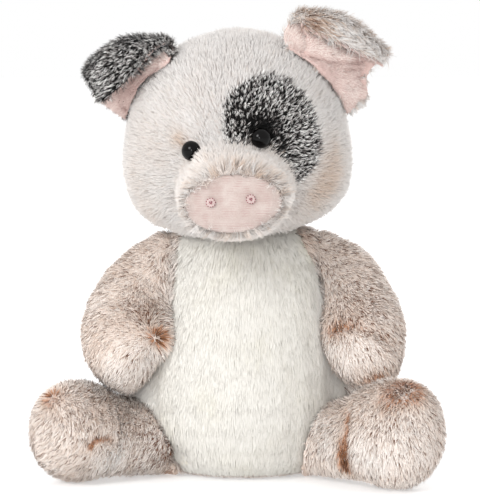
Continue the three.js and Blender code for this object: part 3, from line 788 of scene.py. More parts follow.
def backing_material(slot):
    """The knitted cloth that the pile is rooted in."""
    material, steps, shader = new_material(slot + "_backing", 0.95)
    place = steps.add("ShaderNodeTexCoord").outputs["Object"]
    cloud = steps.noise(place, 220.0)
    low, high = BACKINGS[slot]
    shade = ramp(steps, cloud.outputs["Fac"], [(0.35, low), (0.7, high)])
    steps.plug(shader.inputs["Base Color"], shade)
    knit = steps.add("ShaderNodeTexWave", place)
    knit.inputs["Scale"].default_value = 260.0
    knit.inputs["Distortion"].default_value = 1.5
    bumped(steps, shader, knit.outputs["Fac"], mm(0.2))
    return material


def velour_material(name, low, high, groove=None):
    """Short soft velour: a fine nap with patches that lean differently, and painted shade darkening its
    grooves.
    """
    material, steps, shader = new_material(name, 0.9, sheen=0.35, specular=0.15)
    place = steps.add("ShaderNodeTexCoord").outputs["Object"]
    patch, fine = steps.noise(place, 120.0, 3.0), steps.noise(place, 1500.0)
    both = steps.math("MULTIPLY_ADD", fine.outputs["Fac"], 0.4, steps.math(
        "MULTIPLY", patch.outputs["Fac"], 0.6))
    shade = ramp(steps, both, [(0.3, low), (0.68, high)])
    # Painted shade: the groove colour is mixed in by how deep each point lies in a groove.
    if groove:
        deep = steps.add("ShaderNodeAttribute", attribute_name="groove").outputs["Fac"]
        shade = mixed(steps, deep, shade, colour(*groove))
    steps.plug(shader.inputs["Base Color"], shade)
    bumped(steps, shader, fine.outputs["Fac"], mm(0.25), 0.6)
    return material


def plastic_material(name, shade, roughness, specular=0.5):
    """Moulded plastic with the faint unevenness of its mould."""
    material, steps, shader = new_material(name, roughness, specular=specular)
    shader.inputs["IOR"].default_value = 1.3
    place = steps.add("ShaderNodeTexCoord").outputs["Object"]
    cloud = steps.noise(place, 300.0)
    darker = tuple(int(c * 0.8) for c in shade)
    steps.plug(shader.inputs["Base Color"], ramp(
        steps, cloud.outputs["Fac"], [(0.35, darker), (0.65, shade)]))
    bumped(steps, shader, cloud.outputs["Fac"], mm(0.02), 0.3)
    return material


def fibre_material(name, shade):
    """Loose fibre or a plain woven bag, seen only if a cover is opened."""
    material, steps, shader = new_material(name, 0.95, sheen=0.3)
    place = steps.add("ShaderNodeTexCoord").outputs["Object"]
    cloud = steps.noise(place, 500.0, 4.0)
    darker = tuple(int(c * 0.85) for c in shade)
    steps.plug(shader.inputs["Base Color"], ramp(
        steps, cloud.outputs["Fac"], [(0.3, darker), (0.7, shade)]))
    bumped(steps, shader, cloud.outputs["Fac"], mm(0.4))
    return material


# Pieces

def piece(name, mesh, body, slot, node, material=None):
    """Puts a finished mesh on its body, with its material, and hides the CAD node that it stands for.
    Its slot is not used.
    """
    mesh.polygons.foreach_set("use_smooth", [True] * len(mesh.polygons))
    if material:
        mesh.materials.clear()
        mesh.materials.append(material)
        for poly in mesh.polygons:
            poly.material_index = 0
    obj = link(name, mesh)
    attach(obj, body)
    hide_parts(node)


def drop_layers(mesh, *starts):
    """Removes the attributes that only its making needed."""
    for label in [a.name for a in mesh.attributes if a.name.startswith(starts)]:
        mesh.attributes.remove(mesh.attributes[label])


def lean_normals(mesh, share):
    """Turns the shading of each strand towards the skin that it grows on, as soft pile has it."""
    up = np.zeros(len(mesh.vertices) * 3)
    mesh.attributes["strand_up"].data.foreach_get("vector", up)
    normals = unit(up.reshape(-1, 3) * share + get_normals(mesh) * (1 - share))
    mesh.normals_split_custom_set_from_vertices(normals)


def backing(skin, name, keep, slot, node):
    """The cloth under the pile: the skin's faces with a thickness inwards."""
    cloth = link(name + "_cloth", skin.panel(name, keep))
    wall = cloth.modifiers.new("wall", "SOLIDIFY")
    wall.thickness, wall.offset = BACKING_THICK, -1
    mesh = made_mesh(cloth, name)
    points = get_points(mesh)
    points[:, 2] = np.maximum(points[:, 2], FLOOR_GAP)
    set_points(mesh, points)
    drop_layers(mesh, "skin_")
    piece(name, mesh, skin.body, slot, node, backings[slot])


def pile(skin, name, keep, slot, node, seed, density=1.8, lock=2.0, width=0.32, segments=2,
         pull=0.75, ruffle=0.35, stray=0.3, lean=0.35, lift=0.42, swatch=0.12, dash=0.0, drop=0.9,
         even=0.6):
    """The pile that grows on part of a skin."""
    mesh = pile_tree.apply(
        skin.panel(name + "_skin", keep), name, Density=density * 1e6, Lock=mm(lock),
        Width=mm(width), Segments=segments, Pull=pull, Ruffle=ruffle, Stray=stray, Lean=lean,
        Lift=lift, Swatch=swatch, Dash=dash, Drop=drop, Seed=seed, Material=piles[slot])
    lean_normals(mesh, even)
    drop_layers(mesh, "strand_", "skin_")
    piece(name, mesh, skin.body, slot, node)


def wad(node, body, slot, shrink, lump, seed):
    """Loose stuffing, lumpy and a little smaller than the room it has."""
    mesh = remeshed(welded(node), WAD_VOXEL, node)
    points = evened(mesh, 4)
    swell = lumps(points, mm(9), seed) * mm(lump) - mm(shrink + lump)
    set_points(mesh, points + get_normals(mesh) * swell[:, None])
    piece(node + "_wad", mesh, body, slot, node, fibres[slot])


TAN_PILE = dict(lock=1.0, pull=0.5, ruffle=0.5, stray=0.5, lift=0.5, even=1.0, swatch=0.08,
                width=0.36, density=2.3, dash=0.085, drop=1.0)
# What each part shows. A row of swell, grow, tones, shades, stains or dashes is a pixel's column and
# row in the photograph, a size in millimetres and an amount; a row of nudge ends in millimetres along
# the three axes. A crease is a line of pixels, then its width and depth in millimetres and its shift of
# tone, which is painted shade in the fold; a fan is a pixel and its reach. Tufts, edge, bare and shaggy
# are pixels. BELLY_LEFT and BELLY_RIGHT are rows and columns of the belly's two edges. Some rows of
# stains and of shades are painted light and shade, as the comments at them say.
TORSO_LOOKS = dict(
    swell=((136, 391, 13, 9.0), (353, 389, 12, 6.0), (176, 452, 9, -3.5), (314, 234, 11, 7.0),
           (182, 236, 10, 5.0), (173, 258, 8, 1.5), (322, 270, 8, 3.0), (326, 300, 8, 3.0)),
    tufts=((138, 391), (128, 393), (354, 389)),
    # Painted light: the rows from (173, 250) down to (166, 330) and from (320, 270) down to (336, 374)
    # lighten the strips between the arms and the belly against the shade there, and on the right also
    # for the paler fur. The darker rows at (160, 240) and from (300, 238) to (322, 262) make the pile
    # darker where the shoulders meet the head.
    stains_and_painted_light=((138, 392, 14, 0.5), (356, 390, 10, 0.4), (160, 240, 9, -0.15), (310, 248, 9, -0.1),
            (322, 262, 7, -0.12), (300, 238, 8, -0.1), (173, 250, 8, 0.15), (171, 270, 8, 0.2),
            (169, 290, 8, 0.2), (167, 310, 8, 0.2), (166, 330, 8, 0.2), (320, 270, 8, 0.3),
            (322, 290, 8, 0.5), (324, 312, 8, 0.5), (325, 335, 9, 0.5), (329, 356, 9, 0.4),
            (336, 374, 8, 0.3)),
    dashes=((171, 262, 9, -0.8), (169, 285, 9, -0.9), (167, 308, 9, -0.9), (166, 330, 9, -0.9),
            (300, 240, 9, 0.8), (318, 258, 8, 0.8)))
BELLY_LEFT = ((225, 186), (240, 183), (250, 180), (270, 178), (290, 175), (310, 172), (345, 168))
BELLY_RIGHT = ((225, 294), (240, 300), (250, 306), (262, 312), (280, 318), (300, 321), (345, 323))


def make_torso():
    """The body's bag: tan pile all round, and the ivory panel sewn into its front."""
    skin = Skin("torso", ["torso_cover", "belly_panel"], ["torso_stuffing"], TORSO_VOXEL, TORSO_DEPTH)
    belly = skin.on("belly_panel")
    skin.comb = along((0, 0, -1), skin.normals) * 1.9
    skin.long[:] = TORSO_PILE
    skin.plump(TORSO_ROOM)
    skin.reshape(skin.points + skin.normals * (belly * mm(1.0))[:, None])
    skin.swell(TORSO_LOOKS["swell"])
    px, py = photo_place(skin.points)
    (ys, left), (ye, right) = zip(*BELLY_LEFT), zip(*BELLY_RIGHT)
    beside = (px < np.interp(py, ys, left)) | (px > np.interp(py, ye, right))
    belly &= ~(beside & (py < BELLY_LEFT[-1][0]))
    skin.tone += 0.04
    skin.mottle((18, 0.08, 3), (6, 0.08, 2))
    skin.tone[belly] = 0.58 + 0.12 * lumps(skin.points[belly], mm(22), 4)
    for place in TORSO_LOOKS["tufts"]:
        near = skin.fade_at(*place, 9)
        skin.lengthen(near, 6)
        skin.comb += skin.away((0, mm(-20), mm(60))) * near[:, None] * 2.5
    # Stains, and painted light on the strips beside the belly.
    skin.stains_and_painted_light(TORSO_LOOKS["stains_and_painted_light"])
    skin.thicken_dashes(TORSO_LOOKS["dashes"])
    backing(skin, "torso_backing", ~belly, "tan_pile", "torso_cover")
    backing(skin, "belly_backing", belly, "ivory_pile", "belly_panel")
    back = skin.points[:, 1] > TORSO_BACK
    pile(skin, "torso_side_pile", ~belly & ~back, "tan_pile", "torso_cover", 21, **TAN_PILE)
    pile(skin, "torso_back_pile", ~belly & back, "tan_pile", "torso_cover", 22,
         **TAN_PILE | dict(density=1.5, width=0.44))
    pile(skin, "belly_pile", belly, "ivory_pile", "belly_panel", 23, lock=2.6, pull=0.1,
         density=2.0, width=0.66, ruffle=0.15, stray=0.1, lean=2.4, lift=0.04, even=1.0, swatch=0.03)
    wad("torso_stuffing", "torso", "white_fibre", 2.0, 0.8, 5)
    wad("seat_pellet_pouch", "torso", "pellet_cloth", 0.2, 0.5, 6)


HEAD_LOOKS = dict(
    swell=((128, 165, 18, 1.8), (136, 195, 18, 2.8), (150, 216, 12, 1.4), (345, 190, 14, 2.2),
           (326, 214, 12, 1.4), (250, 30, 20, 1.0), (345, 165, 10, 0.6)),
    nudge=((205, 161, 8, -1.5, -3.5, 3.0), (222, 152, 8, 0.0, -1.5, 1.5)),
    tufts=((203, 157), (195, 161)),
    # The rows down the head's right side, from (330, 152) to (300, 222), are partly tan staining and
    # partly painted shade on the side away from the key lamp. The rows at (150, 210), (150, 150) and
    # (140, 180) are painted shade that dims the side the key lamp lights. The row at (183, 140) is a
    # stain beside the eye.
    stains_and_painted_light=((330, 152, 14, -0.14), (325, 180, 16, -0.17), (311, 200, 14, -0.17), (300, 222, 10, -0.2),
            (150, 210, 12, -0.12), (183, 140, 6, -0.26), (150, 150, 22, -0.09), (140, 180, 14, -0.08)),
    patch_stains=((261, 131, 8.5, -1.6), (278, 147, 6, -0.6), (289, 159, 5, -0.4),
                  (240, 122, 6, -0.25), (300, 165, 12, 0.14)))


def make_head():
    """The head with its eye patch and muzzle in one skin, and what is set into it."""
    covers = ["head_cover", "eye_patch", "muzzle_cover", "snout_pad"]
    skin = Skin("head", covers, ["head_stuffing", "muzzle_stuffing"], HEAD_VOXEL, HEAD_DEPTH)
    muzzle, patch, pad = skin.on("muzzle_cover"), skin.on("eye_patch"), skin.on("snout_pad")
    skin.plump(HEAD_ROOM, mm(1.2))
    pad_reach = skin.reach(np.flatnonzero(pad))
    skin.long[:] = HEAD_PILE
    under = raise_ring(skin, pad_reach, muzzle)
    outer = np.clip((pad_reach - mm(7)) / mm(7), 0, 1)
    skin.long[muzzle] = (RING_PILE + (OUTER_PILE - RING_PILE) * outer)[muzzle]
    skin.long[patch] = PATCH_PILE
    skin.comb = skin.away(PAD_MIDDLE) * (1.2 + 0.5 * muzzle[:, None])
    top = np.clip((skin.points[:, 2] - PAD_MIDDLE.z - mm(8)) / mm(10), 0, 1)
    tufts = np.clip(0.7 + 2.6 * lumps(skin.points, mm(3.5), 5), 0, 1.4) * (1 - 0.7 * top)
    inward = (faded(pad_reach, 4.4) * tufts * muzzle)[:, None]
    across = np.array(PAD_MIDDLE) - skin.points
    across[:, 1] = 0
    over_pad = unit(across) * 1.5 + (0, -0.75, 0)
    skin.comb = skin.comb * (1 - np.clip(inward * 1.4, 0, 1)) + over_pad * inward
    skin.swell(HEAD_LOOKS["swell"])
    skin.nudge(HEAD_LOOKS["nudge"])
    skin.tone += 0.03
    skin.mottle((20, 0.05, 7), (6, 0.03, 8))
    # Stains, and painted shade on both sides of the head.
    skin.stains_and_painted_light(HEAD_LOOKS["stains_and_painted_light"])
    # Painted shade round the snout pad, stronger above it, where the pile also shows its tan roots.
    skin.tone -= (0.14 + 0.16 * top) * faded(pad_reach, 5.4) * muzzle
    skin.tone[muzzle & (pad_reach > mm(6))] -= 0.09
    for place in HEAD_LOOKS["tufts"]:
        skin.lengthen(skin.fade_at(*place, 4), 2.4, 1.2)
    skin.tone[patch] += 0.12
    beside_patch = skin.tone[~patch].copy()
    skin.stains_and_painted_light(HEAD_LOOKS["patch_stains"])
    skin.tone[~patch] = beside_patch
    level = (faded(pad_reach, 4.5) * muzzle)[:, None]
    skin.normals = unit(skin.normals * (1 - level) + np.array((0, -1, 0.05)) * level)
    for eye in ("right_eye", "left_eye"):
        low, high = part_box(eye)
        middle = np.array((low + high) / 2)
        skin.thick[skin.far(middle) < EYE_CLEAR] = 0
        skin.lengthen(skin.fade(middle, 9) * ~muzzle, 2.2, 0.8)
    skin.thick[pad | under] = 0
    behind = skin.points[:, 1] > HEAD_BACK
    plain = ~(muzzle | patch | pad)
    backing(skin, "head_backing", plain, "cream_pile", "head_cover")
    backing(skin, "patch_backing", patch, "charcoal_pile", "eye_patch")
    backing(skin, "muzzle_backing", muzzle | pad, "cream_pile", "muzzle_cover")
    pile(skin, "head_front_pile", plain & ~behind, "cream_pile", "head_cover", 31,
         swatch=0.025, lock=1.2, pull=0.25, ruffle=0.3, stray=0.25, lift=0.3, even=1.0, width=0.42,
         dash=0.02, drop=0.25, density=1.9)
    pile(skin, "head_back_pile", plain & behind, "cream_pile", "head_cover", 32,
         swatch=0.1, lock=1.6, pull=0.5, ruffle=0.35, stray=0.35, lift=0.5, even=0.6, width=0.44,
         dash=0.06, drop=0.25, density=1.3)
    pile(skin, "patch_pile", patch, "charcoal_pile", "eye_patch", 33, density=3.0,
         lock=0.85, width=0.34, swatch=0.75, lift=0.8, ruffle=0.6, stray=0.9, even=0.5)
    ring = muzzle & (pad_reach < mm(8))
    pile(skin, "muzzle_ring_pile", ring, "cream_pile", "muzzle_cover", 34, lock=2.2,
         pull=0.85, lean=0.08, lift=0.6, stray=0.5, swatch=0.1, even=0.8, density=2.2)
    pile(skin, "muzzle_outer_pile", muzzle & ~ring, "cream_pile", "muzzle_cover", 35,
         lock=1.6, pull=0.4, lift=0.3, stray=0.35, swatch=0.05, even=0.95, width=0.4, lean=0.8)
    wad("head_stuffing", "head", "white_fibre", 2.0, 0.8, 8)
    wad("muzzle_stuffing", "head", "white_fibre", 1.6, 0.4, 9)
    make_pad()
    for side in ("right", "left"):
        make_eye(side)
        make_nostril(side)
        materials = frame["nodes"][f"{side}_eye_washer"].data.materials
        materials.clear()
        materials.append(plastics["white_plastic"])


def raise_ring(skin, pad_reach, muzzle):
    """Brings the skin round the snout pad out to the pad's edge and forward to its face.

    What lies under the pad stays behind it, and is told apart, as no pile grows there.
    """
    pad_shape = tree_of(welded("snout_pad"))

    def pad_face(x, z):
        return pad_shape.ray_cast(Vector((x, -0.2, z)), Vector((0, 1, 0)))[0]

    points = skin.points.copy()
    ring = np.flatnonzero(muzzle & (pad_reach < mm(10)))
    for step in range(2):
        for number in ring:
            out = Vector(points[number]) - PAD_MIDDLE
            out.y = 0
            out.normalize()
            for _ in range(12):
                if not pad_face(points[number][0], points[number][2]):
                    break
                points[number] += np.array(out) * mm(0.5)
            edge = pad_shape.find_nearest(Vector(points[number]))[0].lerp(PAD_MIDDLE, 0.06)
            face = pad_face(edge.x, edge.z)
            behind = points[number][1] - (face.y + mm(0.8)) if face else 0
            points[number][1] -= min(max(behind, 0), mm(6)) * faded(pad_reach[number], 4.6)
        points = smoothed(points, skin.edges, 1)
    under = np.zeros(len(points), bool)
    for number in np.flatnonzero(points[:, 1] < PAD_MIDDLE.y + mm(12)):
        face = pad_face(points[number][0], points[number][2])
        if face:
            under[number] = True
            points[number][1] = max(points[number][1], face.y + mm(1.5))
    skin.reshape(points)
    return under


def make_pad():
    """The velour snout pad, with the fine wavy ribs of its cloth running across."""
    mesh = remeshed(welded("snout_pad"), PAD_VOXEL, "snout_pad_velour")
    points = evened(mesh, 12)
    wander = lumps(points, mm(9), 11) * 2.6 + lumps(points, mm(2.5), 12) * 0.7
    groove = np.clip(np.sin(points[:, 2] / RIB_PITCH * 2 * math.pi + wander), 0, 1) ** 2
    groove *= np.clip(0.4 + 1.1 * lumps(points, mm(4), 13), 0, 1)
    front = np.clip(-get_normals(mesh)[:, 1], 0, 1)
    set_points(mesh, points - get_normals(mesh) * (groove * front * mm(0.22))[:, None])
    # How deep each point lies in a rib's groove, which the pad's material darkens as painted shade.
    layer = mesh.attributes.new("groove", "FLOAT", "POINT")
    layer.data.foreach_set("value", (groove * front).astype(np.float32))
    piece("snout_pad_velour", mesh, "head", "pink_velour", "snout_pad", velours["pad"])


def spun(profile, turns):
    """A closed round shape from a profile of (radius, height), its ends on the axis."""
    bm = bmesh.new()
    rings = []
    for radius, height in profile:
        if radius < 1e-7:
            rings.append([bm.verts.new((0, 0, height))])
        else:
            rings.append([bm.verts.new((radius * math.cos(a), radius * math.sin(a), height))
                          for a in (2 * math.pi * k / turns for k in range(turns))])
    for low, high in zip(rings, rings[1:]):
        for k in range(turns):
            m = (k + 1) % turns
            if len(low) == 1:
                bm.faces.new((low[0], high[m], high[k]))
            elif len(high) == 1:
                bm.faces.new((low[k], low[m], high[0]))
            else:
                bm.faces.new((low[k], low[m], high[m], high[k]))
    bmesh.ops.recalc_face_normals(bm, faces=bm.faces)
    return freed(bm, bpy.data.meshes.new("spun"))


def node_middle(node):
    return Vector(get_points(frame["nodes"][node].data).mean(0))


def make_eye(side):
    """A glossy black dome with its rim and the shank that goes through the cloth."""
    eye = f"{side}_eye"
    axis = (node_middle(eye) - node_middle(eye + "_washer")).normalized()
    points = get_points(frame["nodes"][eye].data)
    heights = points @ np.array(axis)
    radial = points - np.outer(heights, np.array(axis))
    centre = Vector(radial.mean(0))
    top = float(heights.max())
    wide = float(np.linalg.norm(radial - np.array(centre), axis=1).max())
    base, end = top - EYE_DOME, float(heights.min())
    profile = [(0.0, top)]
    profile += [(wide * math.sin(a), top - EYE_DOME * (1 - math.cos(a)))
                for a in (math.pi / 2 * k / EYE_STEPS for k in range(1, EYE_STEPS + 1))]
    profile += [(wide * 0.985, base - mm(0.5)), (wide * 0.9, base - mm(0.9)),
                (mm(2.2), base - mm(1.2)), (SHANK_RADIUS, base - mm(1.6)),
                (SHANK_RADIUS, end + mm(0.3)), (SHANK_TIP, end), (0.0, end)]
    mesh = spun(profile[::-1], EYE_TURNS)
    turn = Vector((0, 0, 1)).rotation_difference(axis).to_matrix().to_4x4()
    mesh.transform(Matrix.Translation(centre) @ turn)
    piece(eye + "_dome", mesh, "head", "black_plastic", eye, plastics["black_plastic"])


def make_stitch_tree():
    """A nostril's embroidery: a ring of satin stitches, a pale disc and a knot in its middle."""
    t = Tree("stitches")
    radius, count, long, thread, turns, ring_thread, disc_thread, knot_thread = t.inputs(
        Radius="Float", Count="Int", Long="Float", Thread="Float", Knot="Int",
        Ring="Material", Disc="Material", Middle="Material")

    def stitches(number, reach, length, lift, seed, material):
        """A ring of stitches that point outwards, each a stretched ball."""
        ring = t.out("GeometryNodeMeshCircle", number, reach)
        place = t.out("GeometryNodeInputPosition")
        up = t.scale(t.random((-1.0, -1.0, 0.0), (1.0, 1.0, 1.0), seed, None, "FLOAT_VECTOR"),
                     t.math("MULTIPLY", thread, 0.5))
        ring = t.out("GeometryNodeSetPosition", ring, True, None, t.plus(up, lift))
        points = t.out("GeometryNodeMeshToPoints", ring)
        turn = t.out("FunctionNodeAlignRotationToVector", None, 1.0, place, axis="X")
        capsule = t.out("GeometryNodeMeshUVSphere", 8, 5, thread)
        stretch = t.out("ShaderNodeCombineXYZ", t.math("DIVIDE", length, t.math(
            "MULTIPLY", thread, 2.0)), 1.0, 0.8)
        capsule = t.out("GeometryNodeTransform", capsule, None, None, None, stretch)
        grown = t.out("GeometryNodeInstanceOnPoints", points, True, capsule, False, 0, turn)
        return t.out("GeometryNodeSetMaterial", grown, True, material)

    def raised(height):
        return t.out("ShaderNodeCombineXYZ", 0.0, 0.0, height)

    disc = t.out("GeometryNodeMeshCylinder", 32, 2, 2, radius, t.math("MULTIPLY", thread, 2.2))
    disc = t.out("GeometryNodeSetMaterial", disc, True, disc_thread)
    low, high = t.math("MULTIPLY", thread, 1.1), t.math("MULTIPLY", thread, 1.7)
    ring = stitches(count, radius, long, raised(low), 3, ring_thread)
    fill = stitches(t.math("MULTIPLY", turns, 3), t.math("MULTIPLY", radius, 0.58),
                    t.math("MULTIPLY", long, 0.9), raised(low), 4, disc_thread)
    knot = stitches(turns, t.math("MULTIPLY", radius, 0.25), t.math("MULTIPLY", long, 0.8),
                    raised(high), 5, knot_thread)
    both = t.add("GeometryNodeJoinGeometry")
    for part in (disc, ring, fill, knot):
        t.tree.links.new(part, both.inputs[0])
    t.finish(t.out("GeometryNodeRealizeInstances", both.outputs[0]))
    return t


def make_nostril(side):
    """The stitches, laid in the plane of the CAD nostril's face."""
    node = f"{side}_nostril"
    points = get_points(frame["nodes"][node].data)
    middle = points.mean(0)
    spread = np.linalg.svd(points - middle, full_matrices=False)[2]
    out = Vector(spread[2])
    out = out if out.y < 0 else -out
    reach = np.linalg.norm(np.cross(points - middle, np.array(out)), axis=1).max()
    face = float(((points - middle) @ np.array(out)).max())
    seed = bpy.data.meshes.new(node + "_seed")
    mesh = stitch_tree.apply(
        seed, node, Radius=float(reach) * 0.9 - STITCH_LONG * 0.5, Count=11, Long=STITCH_LONG,
        Thread=STITCH_THREAD, Knot=6, Ring=velours["thread"], Disc=velours["pale_thread"],
        Middle=velours["dark_thread"])
    turn = Vector((0, 0, 1)).rotation_difference(out).to_matrix().to_4x4()
    mesh.transform(Matrix.Translation(Vector(middle) + out * (face - STITCH_THREAD * 1.2)) @ turn)
    piece(node + "_stitches", mesh, "head", "pink_thread", node)


EAR_LOOKS = {
    "right": dict(
        slot="charcoal_pile", long=4.6, lock=0.8, swatch=0.8, over=-0.5, fringe=4.4,
        pile=dict(density=3.6, width=0.3, lift=0.7, even=0.5, stray=0.8, ruffle=0.6),
        grow=((90, 54, 8, 3.0), (115, 36, 12, -1.0)),
        tones=((98, 80, 15, 0.08), (140, 45, 14, -0.16), (122, 80, 9, -0.25), (110, 105, 8, 0.05)),
        swell=((157, 58, 6, 2.4), (150, 66, 5, 1.2), (118, 102, 8, 1.0)),
        nudge=(), bare=(),
        shag=4.5, shaggy=((152, 45), (160, 44), (168, 47), (174, 54), (175, 64), (168, 72)),
        # The crease's shift of tone is painted shade in the lining's fold.
        creases=((((157, 68), (148, 78), (138, 90), (126, 110)), 1.6, 1.3, -0.5),),
        # Painted light and shade on the lining: a painted highlight on its rolled edge and lobe,
        # painted shade at (132, 92).
        shades=((158, 56, 9, 0.5), (146, 66, 6, 0.25), (116, 104, 8, 0.2), (132, 92, 9, -0.12))),
    "left": dict(
        slot="cream_pile", long=6.5, lock=1.2, swatch=0.2, over=-0.4, fringe=4.5,
        pile=dict(density=2.6, width=0.34, stray=0.5, ruffle=0.5),
        grow=((345, 14, 12, -1.2), (380, 80, 10, -1.5)),
        tones=((318, 27, 10, -0.28), (334, 40, 9, -0.34), (303, 20, 8, -0.3), (350, 50, 8, -0.12),
               (375, 55, 9, 0.1), (345, 30, 8, 0.1)),
        swell=((298, 38, 6, 1.2), (312, 44, 6, 2.6), (326, 51, 6, 2.4), (342, 57, 5, 1.8),
               (306, 34, 5, 1.6), (318, 40, 5, 2.6), (332, 47, 5, 2.6), (348, 54, 5, 2.0),
               (345, 85, 12, 2.0), (322, 70, 8, 1.0), (380, 82, 8, -1.5)),
        nudge=((374, 72, 8, -4.5, 0.0, 0.0), (370, 84, 8, -2.0, 0.0, 0.0)),
        bare=((306, 33), (312, 37), (320, 41), (328, 45), (336, 50), (344, 54)),
        shag=3.2, shaggy=((284, 22), (282, 32), (281, 42), (368, 90), (360, 104)),
        # The creases' shifts of tone are painted shade in the lining's folds.
        creases=((((303, 54), (331, 62), (370, 63)), 1.5, 1.5, -0.5),
                 (((302, 31), (307, 41), (303, 54)), 1.4, 1.0, -0.35),
                 (((345, 69), (360, 69)), 1.2, 0.7, -0.35)),
        # Painted light and shade on the lining: a painted highlight along its rolled edge from (290,
        # 35) to (345, 56) and on its lower lobe, painted shade at (322, 72).
        shades=((290, 35, 8, 0.5), (312, 42, 8, 0.6), (328, 49, 7, 0.6), (345, 56, 6, 0.5),
                (350, 88, 12, 0.2), (355, 100, 8, 0.2), (322, 72, 8, -0.12))),
}


def make_ear(side, seed):
    """The ear's pile cover, with its fringe round the edge, and its velour lining."""
    looks = EAR_LOOKS[side]
    body, cover, lining = f"{side}_ear", f"{side}_ear_cover", f"{side}_ear_lining"
    skin = Skin(body, [cover], [], EAR_VOXEL, EAR_DEPTH, rounds=4)
    skin.swell(looks["grow"])
    skin.nudge(looks["nudge"])
    touched, gap = nearest_on(welded(lining), skin.outside)
    across = touched - skin.outside
    root = Vector([j["pos_m"] for j in frame["joints"] if j["name"] == body + "_flop"][0])
    far = skin.far(root)
    out = skin.flow(skin.reach(np.argsort(far)[:40])) * 1.6
    rim = np.clip((mm(2.4) - gap) / mm(1.2), 0, 1)[:, None]
    skin.comb = out * (1 - rim) + along(across, skin.normals) * rim * 0.7
    skin.long[:] = mm(looks["long"])
    skin.lengthen(rim[:, 0], 1.0, 0.6)
    skin.thick = np.clip((gap - mm(0.8)) / mm(0.5), 0, 1)
    skin.mottle((10, 0.1, seed), (3.5, 0.12, seed))
    skin.stains_and_painted_light(looks["tones"])
    slot = looks["slot"]
    piece(body + "_backing", skin.mesh.copy(), body, slot, cover, backings[slot])
    fluff = looks["pile"] | dict(lock=looks["lock"], swatch=looks["swatch"])
    pile(skin, body + "_pile", skin.all, slot, cover, seed, **fluff)
    inside = Skin(body, [lining], [], LINING_VOXEL, LINING_DEPTH, rounds=4)
    inside.swell(looks["swell"])
    inside.nudge(looks["nudge"])
    inside.creases(looks["creases"])
    # Painted light and shade on the lining.
    inside.stains_and_painted_light(looks["shades"])
    inside.tone += 0.07
    inside.mottle((6, 0.08, seed + 1))
    inside.comb = inside.flow(inside.far(root)) * 1.2
    inside.long[:] = LINING_PILE
    piece(body + "_velour", inside.mesh.copy(), body, "pink_velour", lining, velours["lining"])
    shown = nearest_on(skin.mesh, inside.points)[1]
    sewn = nearest_on(welded(cover), inside.outside)[1]
    pile(inside, body + "_nap", shown > mm(1.2), "pink_velour", lining, seed + 2, density=3.2,
         lock=1.0, width=0.34, segments=1, pull=0.3, stray=0.6, lift=0.6, even=0.85)
    edge = inside.reach(np.flatnonzero(sewn < mm(0.45)))
    inside.comb = inside.flow(edge) * looks["over"]
    inside.long[:] = mm(looks["fringe"])
    inside.tone = 0.56 + 0.12 * lumps(inside.points, mm(4), seed + 3)
    for place in looks["bare"]:
        inside.thick[inside.far(inside.spot(*place)) < mm(4.5)] = 0
    deep = np.full(len(edge), mm(2.4))
    for place in looks["shaggy"]:
        deep += mm(looks["shag"]) * inside.fade_at(*place, 5)
    pile(inside, body + "_rim", (edge < deep) & (sewn > mm(0.3)), slot, cover, seed + 4,
         **fluff | dict(density=8.0))


ARM_LOOKS = {
    "right": dict(
        swell=((85, 350, 22, 3.0), (120, 386, 14, 3.5), (164, 330, 14, 4.0), (160, 238, 12, 3.0)),
        nudge=((158, 338, 13, 7.5, -3.0, 0.0), (157, 312, 12, 5.5, -3.0, 0.0),
               (160, 285, 11, 4.0, -2.5, 0.0), (165, 258, 10, 3.0, -1.0, 0.0),
               (130, 384, 12, 0.0, 0.0, -3.5)),
        dashes=((140, 306, 11, 3.2), (150, 322, 8, 3.0), (128, 262, 12, 0.8), (95, 360, 18, -0.7),
                (85, 320, 14, -0.8), (100, 270, 12, -0.7), (120, 340, 12, -0.4)),
        fans=(((156, 338), 24),), edge=((166, 262), (163, 285), (161, 305), (161, 325), (161, 345)),
        pale=0.03,
        # The rows at (174, 290) and (172, 320) are painted light on the arm's inner edge, against the
        # shade beside the belly.
        stains_and_painted_light=((157, 338, 5, -0.6), (148, 318, 9, -0.1), (100, 300, 14, 0.1), (130, 372, 16, 0.2),
                (148, 352, 8, 0.15), (120, 265, 14, -0.06), (95, 345, 12, -0.06), (174, 290, 7, 0.2),
                (172, 320, 6, 0.15), (110, 335, 40, -0.06)),
        creases=()),
    "left": dict(
        swell=((402, 350, 24, 3.0), (385, 372, 14, 4.0), (366, 250, 16, 3.0), (322, 236, 12, 3.6),
               (328, 330, 14, 3.0)),
        nudge=((365, 384, 10, 0.0, 0.0, -2.0),),
        dashes=((358, 285, 15, 2.0), (372, 305, 13, 2.0), (345, 312, 10, 1.6), (340, 328, 7, 2.4),
                (335, 250, 10, 0.8), (385, 340, 9, 1.8), (362, 326, 8, 2.0), (400, 320, 9, -0.5),
                (400, 360, 9, -0.5), (345, 360, 12, -0.8), (362, 258, 12, -0.6), (385, 285, 11, -0.6),
                (370, 360, 12, -0.5)),
        fans=(), edge=(), pale=0.03,
        # Painted shadow under the hand at (375, 380); painted shade in the fold from (336, 330) to
        # (362, 327); the rows at (325, 305), (332, 347) and (328, 370) are painted light on the arm's
        # inner edge against the shade beside the belly.
        stains_and_painted_light=((350, 352, 12, 0.2), (375, 380, 9, -0.4), (398, 330, 12, -0.04), (345, 262, 12, -0.04),
                (350, 310, 9, -0.1), (332, 347, 6, 0.3), (325, 305, 7, 0.3), (328, 370, 8, 0.3),
                (336, 330, 6, -0.32), (346, 324, 6, -0.14), (362, 327, 6, -0.08)),
        # The fold's shift of tone is painted shade.
        creases=((((334, 329), (352, 325), (372, 331), (392, 343)), 4.2, 1.6, -0.14),)),
}


